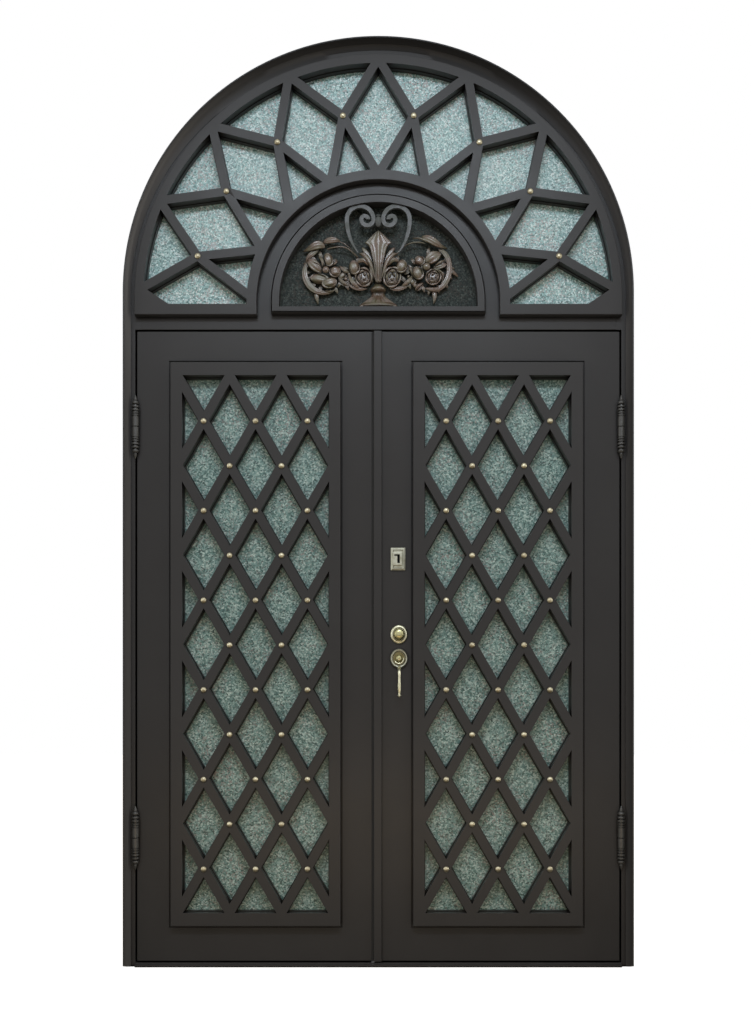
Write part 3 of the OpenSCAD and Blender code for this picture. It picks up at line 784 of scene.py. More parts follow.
def makeSlab(side, meet):
    low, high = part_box(side + "_leaf_slab")
    paneLow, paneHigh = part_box(side + "_glass")
    ob = block(side + "Slab", low, high)
    edit(ob)
    for x in (paneLow.x, paneHigh.x):
        cutLine((x, 0, 0), (1, 0, 0))
    for z in (paneLow.z, paneHigh.z):
        cutLine((0, 0, z), (0, 0, 1))
    chooseFaces(ob, lambda at, normal: abs(normal.y) > 0.9 and paneLow.x < at.x < paneHigh.x
                and paneLow.z < at.z < paneHigh.z)
    bpy.ops.mesh.bridge_edge_loops()
    edgeX = high.x if meet > 0 else low.x
    chooseCorners(ob, lambda at: near(at.x, edgeX) and near(at.y, high.y))
    shift(x=-meet * slab["taper"])
    tidyUp()
    chooseEdges(ob, lambda a, b: not (paneLow.x - hair < a.x < paneHigh.x + hair
                                      and paneLow.z - hair < a.z < paneHigh.z + hair))
    soften(slab["edge"])
    done()
    trimLow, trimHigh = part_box(side + "_front_trim")
    sides = (slab["outer"], slab["inner"]) if meet > 0 else (slab["inner"], slab["outer"])
    groove = block("groove", (trimLow.x - sides[0], low.y - 0.01, trimLow.z - slab["below"]),
                   (trimHigh.x + sides[1], low.y + slab["deep"], trimHigh.z + slab["above"]))
    cutAway(groove, block("core", (trimLow.x, low.y - 0.02, trimLow.z), (trimHigh.x, low.y + 0.02, trimHigh.z)))
    cutAway(ob, groove)
    return ob


for side, meet in (("left", 1), ("right", -1)):
    keepPiece(makeSlab(side, meet), side + "Slab", side + "_leaf", "steel", steel, side + "_leaf_slab")
low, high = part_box("cover_strip")
strip = softened(block("coverStrip", low, high), slab["stripEdge"],
                 lambda a, b: near(a.y, low.y) and near(b.y, low.y) and near(a.x, b.x), 3)
keepPiece(strip, "coverStrip", "right_leaf", "steel", steel, "cover_strip")
print("leaves done")

# lunette: section ring and raised frame with its bottom bar
lunette = {"ringOut": 0.4227, "ringIn": 0.3403, "frameOut": 0.355, "frameIn": 0.328, "edge": 0.0016, "sides": 96,
           "bead": [(0.001, 0), (0.0014, 0.005), (0.0014, -0.005)]}


def halfHoop(name, innerR, outerR, y0, y1, centreZ):
    letGo()
    bpy.ops.mesh.primitive_plane_add(size=1, location=((innerR + outerR) / 2, (y0 + y1) / 2, centreZ))
    ob = placed(name, (outerR - innerR, y1 - y0, 1))
    edit(ob)
    select()
    bpy.ops.mesh.spin(steps=lunette["sides"], angle=math.pi, center=(0, 0, centreZ), axis=(0, 1, 0))
    tidyUp()
    done()
    return ob


def dropFeet(ob, centreZ, footZ, test=lambda at: True):
    chooseFaces(ob, lambda at, normal: near(at.z, centreZ) and abs(normal.z) > 0.99 and test(at))
    push(z=footZ - centreZ)


def makeRing():
    low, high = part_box("lunette_ring")
    centreZ = high.z - lunette["ringOut"]
    ob = halfHoop("ring", lunette["ringIn"], lunette["ringOut"], low.y, high.y, centreZ)
    edit(ob)
    dropFeet(ob, centreZ, low.z)
    tidyUp()
    done()
    return ob, centreZ


def makeLunetteFrame(centreZ):
    low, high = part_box("lunette_arch")
    railLow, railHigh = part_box("lunette_rail")
    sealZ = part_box("transom_bar")[1].z
    ob = arched("lunetteFrame", lunette["frameOut"], centreZ, railLow.z, low.y, wallY)
    dissolveFlat(ob)
    edit(ob)
    chooseFaces(ob, lambda at, normal: normal.y < -0.9)
    terrace(lunette["bead"])
    done()
    cutAway(ob, arched("core", lunette["frameIn"], centreZ, railHigh.z, low.y - beyond, wallY + beyond))
    back = halfHoop("back", lunette["frameIn"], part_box("lunette_glass")[1].x, wallY, high.y, centreZ)
    edit(back)
    dropFeet(back, centreZ, sealZ)
    done()
    softenFace(ob, low.y, lunette["edge"])
    sill = block("sealRail", (-lunette["frameIn"], wallY, sealZ), (lunette["frameIn"], high.y, railHigh.z))
    return joined(ob, back, sill)


ring, lunetteZ = makeRing()
keepPiece(ring, "lunetteRing", "frame", "steel", steel, "lunette_ring")
keepPiece(makeLunetteFrame(lunetteZ), "lunetteFrame", "frame", "steel", steel, "lunette_arch", "lunette_rail")
print("lunette done")

# glass: panes with a pressed grain on the outer face
panes = {"grain": 0.0052, "relief": 0.0007, "set": 0.0012, "gap": 0.0013}


def closePane(ob, thickness, seed):
    edit(ob)
    select()
    bpy.ops.mesh.region_to_loop()
    bpy.ops.mesh.select_mode(type="VERT")
    select("INVERT")
    bpy.ops.transform.vertex_random(offset=panes["relief"], uniform=0, normal=1, seed=seed)
    bpy.ops.mesh.select_mode(type="FACE")
    select()
    bpy.ops.mesh.region_to_loop()
    pullEdges(y=thickness)
    bpy.ops.mesh.edge_face_add()
    select()
    bpy.ops.mesh.normals_make_consistent(inside=False)
    done()
    return ob


def flatPane(name, low, high, seed):
    wide, tall = high.x - low.x, high.z - low.z
    letGo()
    bpy.ops.mesh.primitive_grid_add(x_subdivisions=round(wide / panes["grain"]), size=1,
                                    y_subdivisions=round(tall / panes["grain"]), rotation=(math.pi / 2, 0, 0),
                                    location=((low.x + high.x) / 2, low.y + panes["set"], (low.z + high.z) / 2))
    ob = placed(name, (wide, tall, 1))
    return closePane(ob, high.y - low.y - panes["set"], seed)


def makeFanPane():
    low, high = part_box("fan_glass")
    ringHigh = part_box("lunette_ring")[1]
    innerR, turnZ = ringHigh.x + panes["gap"], ringHigh.z - lunette["ringOut"]
    letGo()
    bpy.ops.mesh.primitive_grid_add(x_subdivisions=round((high.x - innerR) / panes["grain"]), y_subdivisions=1,
                                    size=1, location=((high.x + innerR) / 2, 0, 0))
    ob = placed("fanPane", (high.x - innerR, 1, 1))
    edit(ob)
    chooseEdges(ob, lambda a, b: a.y > 0 and b.y > 0)
    select("INVERT")
    bpy.ops.mesh.delete(type="EDGE")
    chooseCorners(ob, lambda at: at.y < 0)
    bpy.ops.mesh.delete(type="VERT")
    select()
    shift(y=low.y + panes["set"] - 0.5, z=low.z)
    for step in (1, 2):
        pullEdges(z=(turnZ - low.z) / 2)
    bpy.ops.mesh.spin(steps=round(math.pi * 0.6 / panes["grain"]), angle=math.pi, center=(0, 0, turnZ), axis=(0, 1, 0))
    for step in (1, 2):
        pullEdges(z=(low.z - turnZ) / 2)
    tidyUp()
    chooseFaces(ob, lambda at, normal: normal.y > 0)
    bpy.ops.mesh.flip_normals()
    done()
    return closePane(ob, high.y - low.y - panes["set"], 3)


for side, seed in (("left", 1), ("right", 2)):
    low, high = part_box(side + "_glass")
    keepPiece(flatPane(side + "Pane", low, high, seed), side + "Pane", side + "_leaf", "glass", leafGlassPaintedShade,
              side + "_glass", smooth=50)
keepPiece(makeFanPane(), "fanPane", "frame", "glass", paleGlass, "fan_glass", smooth=50)
low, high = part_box("lunette_glass")
pane = flatPane("lunettePane", low, high, 4)
tool = arched("paneShape", high.x, lunetteZ, low.z - 0.01, low.y - 0.01, high.y + 0.01)
modify(pane, "BOOLEAN", operation="INTERSECT", object=tool, solver="EXACT")
bpy.data.objects.remove(tool)
keepPiece(pane, "lunettePane", "frame", "dark_glass", darkGlass, "lunette_glass", smooth=50)
print("glass done")

# studs: one domed nail head, copied to the crossings
nail = {"dome": [(10, 0), (10, 1.2), (9.2, 3.4), (6.4, 5.8), (3, 6.8), (0, 7)], "steps": 16, "drop": 0.0032}


def leafSpots(side):
    low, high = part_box(side + "_lattice")
    rowHeight = (high.z - low.z) / grille["rows"]
    middle = (low.x + high.x) / 2
    for row in range(1, grille["rows"]):
        for x in ((-1, 0, 1) if row % 2 else (-0.5, 0.5)):
            yield middle + x * grille["pitch"], low.y, low.z + row * rowHeight - nail["drop"]


def fanSpots():
    low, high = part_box("fan_frame_left")
    for k in range(fan["tips"]):
        spot = spotAt(fan["nodeR"], 90 - fan["step"] * (k + 0.5), high.z + low.x)
        yield from ((x, low.y, spot.z) for x in (spot.x, -spot.x))


studPiece = lathe("nail", nail["dome"], (0, 0, 0), nail["steps"], "-Y")
for name, spots, body, node in (("leftStuds", leafSpots("left"), "left_leaf", "left_studs"),
                                ("rightStuds", leafSpots("right"), "right_leaf", "right_studs"),
                                ("fanStuds", fanSpots(), "frame", "fan_studs")):
    heads = joined(*[copied(studPiece, "head", spot) for spot in spots])
    keepPiece(heads, name, body, "stud", studBrass, node, smooth=50)
bpy.data.objects.remove(studPiece)
print("studs done")

# hinges: turned barrels with collars and finials, welded to jamb and leaf
hinge = {"x": 0.806, "y": -0.072, "heights": (0.430, 1.793), "steps": 32,
         "tabInward": (0.0025, 0.0105), "tabReach": (0.0006, 0.059), "tabFront": 0.004, "tabEdge": 0.0008,
         "outline": [(0, 0.6), (10.8, 0.6), (11.8, 1.4), (11.8, 33), (10.0, 34.0), (10.0, 36.2), (12.2, 37.2),
                     (12.2, 40.4), (9.2, 41.4), (9.2, 43.6), (12.2, 44.6), (12.3, 48.2), (8.6, 49.4), (8.6, 52.2),
                     (12.2, 53.4), (12.4, 56.5), (12.2, 59.2), (7.8, 60.6), (7.6, 63.2), (11.8, 64.6), (12.4, 67.6),
                     (11.2, 70.6), (6.4, 72.0), (6.2, 74), (10.2, 76), (11.4, 79.6), (10.4, 83.4), (7.0, 86.4),
                     (5.4, 88), (6.4, 89.6), (6.2, 92), (4.2, 98), (2.0, 104.4), (0, 107.6)]}


def hingeSet(side, up):
    sign = -1 if side == "left" else 1
    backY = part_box("left_leaf_slab")[0].y if up > 0 else frontY
    parts = []
    for z in hinge["heights"]:
        barrel = lathe("barrel", [(r, up * h) for r, h in hinge["outline"]], (sign * hinge["x"], hinge["y"], z),
                       hinge["steps"])
        xs = sorted(sign * (hinge["x"] - up * inward) for inward in hinge["tabInward"])
        zs = sorted(z + up * reach for reach in hinge["tabReach"])
        tab = block("tab", (xs[0], hinge["y"] + hinge["tabFront"], zs[0]), (xs[1], backY, zs[1]))
        parts += [barrel, softened(tab, hinge["tabEdge"], lambda a, b: a.z == b.z)]
    return joined(*parts)


for side in ("left", "right"):
    for up, part, body in ((-1, "Posts", "frame"), (1, "Barrels", side + "_leaf")):
        keepPiece(hingeSet(side, up), side + "Hinge" + part, body, "steel", hingeSteel,
                  side + "_hinge_" + part.lower(), smooth=40)
print("hinges done")

# lock: key plate, roses and the hanging lever
lock = {"x": 69, "z": 1025, "steps": 48, "tall": 1.1, "slim": 0.88, "barStart": 9, "axisOut": 0.010,
        "pad": (0.914, 0.942, 0.0009, 0.0014),  # from, to, border, depth
        "curl": [1.6, 4, 5.4] + [6] * 6 + [5.2, 4, 2],
        "curlPlace": (15.2, 16.4, 1, 8.4, 0.16),  # half width, half height, below the axis, out, lean
        "rim": [(0, 0), (28.6, 0), (29, 2.6), (27.8, 5.2), (24.8, 7), (21.6, 7), (20.2, 5), (19.4, 2.8),
                (17.6, 2.6), (0, 2.6)],
        "dome": [(0, 2), (18, 2), (18.4, 8), (18, 13.4), (16.4, 17.6), (12.6, 20.6), (7, 21.8), (0, 22)],
        "base": [(0, 0), (25.5, 0), (25.5, 3), (24.8, 3.7), (0, 3.8)],
        "inside": [(0, 0), (29, 0), (29, 4), (26.5, 8), (20, 9), (18, 7.8), (16.4, 7.8), (15.6, 9), (0, 9)],
        "ring": [(0, 4), (28.2, 4), (29.4, 6.4), (28.8, 10), (26.2, 12.4), (23.4, 12), (21.2, 9.4), (20.2, 5), (0, 5)],
        "floor": [(0, 4.5), (20, 4.5), (19.6, 5.6), (0, 5.6)],
        "hub": [(0, 5), (10.6, 5), (10.4, 8), (8.8, 10.6), (5, 12.2), (0, 12.6)],
        "grip": [(1001, 10), (994, 12), (984, 12.6), (970, 11), (957, 10), (946, 11), (936, 13.4), (926, 14),
                 (917, 12.6), (909, 8), (905.6, 8.6), (902, 10), (898.4, 8.8), (895.4, 3.4)]}  # height, width

keyPlate = {"plate": (0.001, 0.0015, 0.001, 0.0035), "edge": 0.0014,  # in from the left, right and ends, set back
            "terrace": [(0.0055, -0.0032), (0.0016, 0), (0.0022, 0.0026)],
            "raised": (0.0075, 0.0135, 0.0165, -0.0008), "raisedTerrace": [(0.0022, -0.0009)], "raisedDeep": 0.004,
            "slots": [(0.0225, 0.0310, 0.0245, 0.0535), (0.0125, 0.0230, 0.0485, 0.0535)],  # x and z from the corner
            "dark": (0.012, 0.0315, 0.024, 0.054, 0.0002), "skin": 0.0008, "backEdge": 0.0018}


def turned(outline, y, z, out=-1):
    ob = lathe("turned", outline, (lock["x"] * mm, y, z), lock["steps"], "-Y" if out < 0 else "Y")
    edit(ob)
    select()
    resizePart((1, 1, lock["tall"]), (lock["x"] * mm, y, z))
    done()
    return ob


def raisedPlate(low, high, place, backY, steps):
    left, right, ends, setBack = place
    ob = block("plate", (low.x + left, low.y + setBack, low.z + ends), (high.x - right, backY, high.z - ends))
    edit(ob)
    chooseFaces(ob, lambda at, normal: normal.y < -0.9)
    terrace(steps)
    return ob


def makeKeyPlate():
    low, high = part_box("key_plate")
    leafLow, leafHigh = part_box("right_leaf_slab")
    plate = raisedPlate(low, high, keyPlate["plate"], leafLow.y, keyPlate["terrace"])
    chooseEdges(plate, lambda a, b: near(a.x, b.x) and near(a.z, b.z) and a.y != b.y, 60)
    soften(keyPlate["edge"])
    done()
    raised = raisedPlate(low, high, keyPlate["raised"], leafLow.y - keyPlate["raisedDeep"], keyPlate["raisedTerrace"])
    done()
    slots = joined(*[block("slot", (low.x + left, low.y - 0.01, low.z + foot),
                           (low.x + right, leafLow.y - keyPlate["skin"], low.z + top))
                     for left, right, foot, top in keyPlate["slots"]])
    cutAway(raised, slots, keep=True)
    cutAway(plate, slots)
    backPlate = softened(block("backPlate", (low.x, leafHigh.y, low.z), high), keyPlate["backEdge"],
                         lambda a, b: not (near(a.y, leafHigh.y) or near(b.y, leafHigh.y)), 3)
    ob = joined(plate, raised, backPlate)
    ob.data.materials.append(plateBrass)
    ob.data.materials.append(keyholeShadePaint)
    edit(ob)
    # the keyhole's walls and floor, inside the 'dark' box, get the painted shade
    left, right, foot, top, skin = keyPlate["dark"]
    chooseFaces(ob, lambda at, normal: low.x + left < at.x < low.x + right and low.z + foot < at.z < low.z + top
                and low.y + skin < at.y < leafLow.y - skin and (abs(normal.y) < 0.1 or at.y > leafLow.y - 0.002))
    ob.active_material_index = 1
    bpy.ops.object.material_slot_assign()
    done()
    return ob


def makeLever(y, inward, wallY):  # a ring with a boss in it, and the bar that hangs from the ring
    x, z = lock["x"], lock["z"]
    ring, floor, hub = (turned(lock[part], wallY, z * mm, -inward) for part in ("ring", "floor", "hub"))
    wall, front = wallY / mm, y / mm
    start = wall - inward * lock["barStart"]
    depths = [start, (start + front) / 2] + [front] * (len(lock["grip"]) - 2)
    bar = drawn("bar", [(x, depth, height) for depth, (height, wide) in zip(depths, lock["grip"])],
                [wide * lock["slim"] for height, wide in lock["grip"]], 12)
    edit(bar)
    foot, top, border, deep = lock["pad"]
    chooseFaces(bar, lambda at, normal: normal.y * inward < -0.8 and foot < at.z < top)
    terrace([(border, inward * deep)])
    done()
    wide, tall, drop, out, lean = lock["curlPlace"]
    turns = [math.radians(200 + 16 * k) for k in range(len(lock["curl"]))]
    curl = drawn("curl", [(x + wide * math.cos(turn), wall - inward * out - inward * lean * k,
                           z - drop + tall * math.sin(turn)) for k, turn in enumerate(turns)], lock["curl"])
    # the ring's floor gets the brass darkened as painted shade
    for part, metal in ((ring, plateBrass), (floor, brassPaintedShade), (bar, brass), (curl, brass), (hub, goldBrass)):
        part.data.materials.append(metal)
    return joined(ring, floor, bar, curl, hub)


leafLow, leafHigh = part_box("right_leaf_slab")
cylZ, leverZ = [sum(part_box(node)[i].z for i in (0, 1)) / 2 for node in ("cylinder_rose", "lever_rose")]
keepPiece(makeKeyPlate(), "keyPlate", "right_leaf", "lock_brass", plateBrass, "key_plate")
rim, dome, cap = (turned(lock[part], leafHigh.y if out > 0 else leafLow.y, cylZ, out)
                  for part, out in (("rim", -1), ("dome", -1), ("inside", 1)))
for ob, material in ((rim, brass), (dome, goldBrass), (cap, brass)):
    ob.data.materials.append(material)
keepPiece(joined(rim, dome, cap), "cylinderRose", "right_leaf", "lock_brass", brass, "cylinder_rose", smooth=40)
keepPiece(joined(turned(lock["base"], leafLow.y, leverZ), turned(lock["base"], leafHigh.y, leverZ, 1)),
          "leverRose", "right_leaf", "lock_brass", brass, "lever_rose", smooth=40)
for part, y, inward, wall in (("Outer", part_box("lever_outer")[0].y + lock["axisOut"], 1, leafLow.y),
                              ("Inner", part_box("lever_inner")[1].y - lock["axisOut"], -1, leafHigh.y)):
    keepPiece(makeLever(y, inward, wall), "lever" + part, "lever", "lock_brass", brass, "lever_" + part.lower(),
              smooth=40)
print("lock done")

# seals: the strip at the meeting edge reaches into the leaf that it sits on
seals = {"round": 0.0014, "thinRound": 0.0008, "in": 0.0025, "out": 0.001, "under": 0.001}

low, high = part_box("door_seal")
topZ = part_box("transom_bar")[0].z
strips = [block("leftSeal", low, (stopX, high.y, topZ - seals["under"])),
          block("rightSeal", (-stopX, low.y, low.z), (high.x, high.y, topZ - seals["under"])),
          block("headSeal", (stopX, low.y, topZ), (-stopX, high.y, high.z))]
keepPiece(joined(*[softened(strip, seals["round"], steps=3) for strip in strips]), "doorSeal", "frame", "seal",
          rubber, "door_seal")
low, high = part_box("meeting_seal")
strip = block("meetingSeal", (low.x - seals["in"], low.y, low.z), (high.x + seals["out"], high.y, high.z))
keepPiece(softened(strip, seals["thinRound"], steps=3), "meetingSeal", "left_leaf", "seal", rubber, "meeting_seal")
print("seals done")

# scrolls over the vase: tapered tail, wide bow, two turns and a bead between the bows
scroll = {"z": 2477.5, "bead": 2472.5, "front": -83, "back": -71, "wide": 13.4, "taper": 0.22, "edge": 1.6,
          "start": 217, "tail": (79, 183), "end": (-45, 11),
          "turns": [(79, -37, 10), (-60, -180, 26), (-36, -180, 18), (-45, -180, 12)],  # centre, angle, steps
          "beadShape": [(0, -19), (4.5, -18), (8.5, -13), (11.2, -4), (11.4, 3), (9.2, 10), (6.4, 13.6), (6.0, 15),
                        (8.2, 16), (8.2, 18.5), (4.8, 20), (0, 20.4)]}


def makeScroll():
    deep, middle = scroll["back"] - scroll["front"], (scroll["front"] + scroll["back"]) / 2
    x, r = scroll["tail"]
    start = math.radians(scroll["start"])
    at = Vector((x + r * math.cos(start), middle, scroll["z"] + r * math.sin(start))) * mm
    letGo()
    bpy.ops.mesh.primitive_plane_add(size=1, location=at, rotation=(0, -start, 0))
    ob = placed("scroll", (scroll["wide"] * mm, deep * mm, 1))
    edit(ob)
    select()
    for centre, angle, steps in scroll["turns"]:
        bpy.ops.mesh.spin(steps=steps, angle=math.radians(angle), axis=(0, 1, 0),
                          center=Vector((centre, middle, scroll["z"])) * mm)
    for k in range(10):
        angle = start - math.radians(3.7 * k)
        middleAt = Vector((x + r * math.cos(angle), middle, scroll["z"] + r * math.sin(angle))) * mm
        share = scroll["taper"] + (1 - scroll["taper"]) * math.sin(math.pi / 2 * k / 10)
        chooseCorners(ob, lambda at: math.hypot(at.x - middleAt.x, at.z - middleAt.z) < scroll["wide"] * 0.52 * mm
                      and abs(math.atan2(at.z - scroll["z"] * mm, at.x - x * mm) % (2 * math.pi) - angle) < 0.006)
        resizePart((share, 1, share), middleAt)
    tidyUp()
    endX = sum(scroll["end"]) * mm
    chooseEdges(ob, lambda a, b: near(a.x, b.x) and near(a.z, b.z) and near(a.z, scroll["z"] * mm)
                and abs(a.x - endX) < scroll["wide"] * 0.6 * mm and abs(a.y - b.y) > 0.01)
    soften(scroll["wide"] * 0.47 * mm, 5)
    chooseEdges(ob, lambda a, b: near(a.y, b.y), 40)
    soften(scroll["edge"] * mm)
    done()
    return ob


leftScroll = makeScroll()
rightScroll = mirrored(leftScroll, "rightScroll")
bead = lathe("bead", scroll["beadShape"], (0, (scroll["front"] + 5) * mm, scroll["bead"] * mm), 24)
keepPiece(joined(leftScroll, rightScroll, bead), "scrollPair", "frame", "scroll_steel", slateSteel, "scrolls",
          smooth=40)
print("scrolls done")

# vase: turned, fluted and cut flat at the back, with leaves at its shoulders
vase = {"foot": 2187, "back": -43, "steps": 48, "deep": 1.15, "footDeep": 0.5, "footTop": 0.062, "hoodY": -66,
        "flutes": [(0.018, 0.046, 15, [(0, 0.86)]),  # from, to, degrees from one to the next, place and dent
                   (0.094, 0.250, 30, [(0.5, 0.80), (-0.25, 0.92), (0.25, 0.92)])],
        "ribs": [4.2, 4.2, -2.2, 4.2, 4.2],
        "outline": [(0, 0), (58, 0), (59, 6), (66.5, 9), (67.4, 13), (61, 19), (53, 25), (45, 31), (37, 37), (29, 43),
                    (24, 48), (22, 53), (21, 59), (24.5, 62), (27, 67), (26, 72), (20.5, 76), (19.5, 80), (15, 85),
                    (11, 90), (10.5, 98), (11.5, 110), (14.5, 127), (19, 146), (23, 164), (25, 182), (25, 196),
                    (23.5, 208), (20.5, 220), (18, 232), (14.5, 243), (10, 252), (5, 257), (0, 258)],
        "hood": [(2272, 20), (2286, 22), (2300, 23), (2313, 26), (2330, 31), (2350, 38), (2366, 45), (2380, 51),
                 (2390, 58), (2397, 66), (2402, 78), (2405, 93), (2409, 84), (2417, 67), (2425, 51), (2433, 35),
                 (2440, 20), (2446, 7)],  # height, width
        "leaves": [([(-10, -62, 2284), (-16, -66, 2306), (-22, -69, 2326), (-30, -71, 2345), (-41, -70, 2360),
                     (-54, -66, 2370), (-65, -61, 2371)], [6, 10, 13, 16, 18, 14, 3], 9, -2.4),
                   ([(-14, -54, 2322), (-26, -57, 2346), (-36, -57, 2370), (-46, -56, 2386), (-56, -52, 2396)],
                    [10, 20, 22, 14, 4], 5, 0)]}


def makeVase():
    ob = lathe("vase", vase["outline"], (0, 0, 0), vase["steps"])
    edit(ob, "VERT")
    for low, high, apart, dents in vase["flutes"]:
        for offset, dent in dents:
            chooseCorners(ob, lambda at: low < at.z < high and math.hypot(at.x, at.y) > 0.003
                          and abs((aroundAt(at) / apart - offset + 0.5) % 1 - 0.5) < 0.05)
            resizePart((dent, dent, 1), (0, 0, 0))
    chooseCorners(ob, lambda at: at.z < vase["footTop"])
    resizePart((1, vase["footDeep"] / vase["deep"], 1), (0, 0, 0))
    select()
    resizePart((1, vase["deep"], 1), (0, 0, 0))
    cutLine((0, 0, 0), (0, 1, 0), clear=True, fill=True)
    select()
    shift(y=vase["back"] * mm, z=vase["foot"] * mm)
    done()
    leaves = []
    for path, widths, flat, ribs in vase["leaves"]:
        leaf = drawn("leaf", path, widths, 12, flat, ribs)
        leaves += [leaf, mirrored(leaf, "leaf")]
    hood = drawn("hood", [(0, vase["hoodY"], z) for z, wide in vase["hood"]], [wide for z, wide in vase["hood"]],
                 32, 15, smooth=0)
    edit(hood, "VERT")
    for z, wide in vase["hood"]:
        for k, dent in enumerate(vase["ribs"]):
            middle = math.cos(math.pi * (k + 2) / 8) * wide * mm / 2
            chooseCorners(hood, lambda at: near(at.z, z * mm) and abs(at.x - middle) < wide * mm * 0.01
                          and at.y < vase["hoodY"] * mm)
            shift(y=dent * mm)
    done()
    modify(hood, "SUBSURF", levels=1, render_levels=1)
    return joined(ob, hood, *leaves)


keepPiece(makeVase(), "flowerVase", "frame", "bronze", bronze, "vase", smooth=50)
print("vase done")

# bouquets: a bud, a blossom, a folded bloom, a ball and a small leaf are made once and copied; long leaves are drawn
bloom = {"bud": [(0, -1), (0.34, -0.95), (0.66, -0.76), (0.9, -0.42), (1, -0.02), (0.93, 0.38), (0.72, 0.7),
                 (0.42, 0.92), (0.14, 1.0), (0, 1.01)],
         "blossom": [(0, -0.25), (0.86, -0.25), (0.95, -0.1), (0.9, 0.12), (0.76, 0.3), (0.5, 0.4), (0.2, 0.44),
                     (0, 0.44)],
         "ball": [(0, -1), (0.5, -0.87), (0.87, -0.5), (1, 0), (0.87, 0.5), (0.5, 0.87), (0, 1)],
         "seams": (-70, -8, 52, 130, 200), "seamWide": 9, "seamDeep": 0.8, "twist": 0.5,
         "budPetals": [(0.98, -150, 20, 0.36, 0.55), (0.92, 30, 140, 0.22, 0.3)],
         "rings": [(5, 0.98, -46, 46, 0.3, 0.42), (4, 0.62, -30, 55, 0.26, 0.68), (3, 0.3, 0, 100, 0.22, 0.8)],
         "fold": ([(-1000, 0, 0), (-860, -160, 40), (-520, -330, 60), (-60, -420, 20), (420, -350, -30),
                   (800, -190, -20), (1010, -20, 60)], [160, 760, 1330, 1560, 1400, 860, 120], 12, 620, 150),
         "lip": ([(-880, -120, 300), (-480, -420, 620), (0, -560, 700), (460, -460, 560), (840, -200, 260)],
                 [60, 190, 220, 190, 60], 8),
         "leaf": ([(0, 0, 0), (200, -80, 30), (500, -130, 40), (800, -80, 10), (1000, 0, -40)],
                  [60, 330, 440, 280, 20], 12, 170, 45)}


def petalArc(radius, first, last, thick, forward):  # a curled petal round the flower, in the flower's own units
    turns = [math.radians(first + (last - first) * k / 5) for k in range(6)]
    return drawn("petal", [(radius * 1000 * math.cos(turn), -1000 * forward * math.sin(math.pi * (k + 1) / 7),
                            radius * 1000 * math.sin(turn)) for k, turn in enumerate(turns)],
                 [60, thick * 700, thick * 1000, thick * 1000, thick * 700, 60], 8, thick * 800)


def makeBud():
    ob = lathe("bud", bloom["bud"], (0, 0, 0), 20, unit=1)
    edit(ob, "VERT")
    for seam in bloom["seams"]:
        chooseCorners(ob, lambda at: abs(at.z) < 0.97 and math.hypot(at.x, at.y) > 0.05
                      and abs((aroundAt(at) - seam + 180) % 360 - 180) < bloom["seamWide"])
        resizePart((bloom["seamDeep"], bloom["seamDeep"], 1), (0, 0, 0))
    chooseCorners(ob, lambda at: at.z > 0.8)
    turnPart(bloom["twist"], (0, 0, 0), "Z")
    done()
    modify(ob, "SUBSURF", levels=1, render_levels=1)
    return joined(ob, *[petalArc(*petal) for petal in bloom["budPetals"]])


def makeBlossom():
    ob = lathe("blossom", bloom["blossom"], (0, 0, 0), 24, "-Y", unit=1)
    return joined(ob, *[petalArc(radius, 360 / count * k + first, 360 / count * k + last, thick, forward)
                        for count, radius, first, last, thick, forward in bloom["rings"] for k in range(count)])


flowers = {  # kind, x, y, z, width, height, turn
    "left": [
        ("ball", -174, -73, 2313.5, 11.5, 11.5, 0), ("bud", -166, -62, 2350, 16, 23, 14),
        ("fold", -212, -57, 2330, 32, 22, -40), ("bud", -144, -60, 2311, 20, 19.5, -75),
        ("bud", -196, -61, 2287, 17, 31, 80), ("bud", -162, -64, 2273, 19, 25, -76),
        ("bud", -80, -62, 2324, 19, 24, 10), ("blossom", -49, -58, 2292, 27, 31, 8),
        ("bud", -121, -56, 2299, 11, 15, -40), ("ball", -108, -59, 2288, 6.5, 6.5, 0),
        ("ball", -97, -58, 2304, 6, 6, 0), ("ball", -113, -58, 2316, 5, 5, 0)],
    "right": [
        ("ball", 160, -73, 2324, 12.5, 12.5, 0), ("bud", 138, -62, 2347, 16, 18, 50),
        ("fold", 181, -59, 2356, 31, 26, 38), ("bud", 131, -63, 2305, 19, 23, 24),
        ("blossom", 183, -59, 2293, 27, 25, 60), ("blossom", 46, -58, 2292, 28, 34, -14),
        ("ball", 47, -80, 2308, 5.5, 5.5, 0), ("bud", 77, -62, 2328, 19, 23, -16),
        ("fold", 206, -55, 2331, 24, 14, 20), ("bud", 112, -56, 2280, 11, 14, 40),
        ("ball", 123, -57, 2267, 7, 7, 0), ("ball", 101, -57, 2296, 6, 6, 0)]}

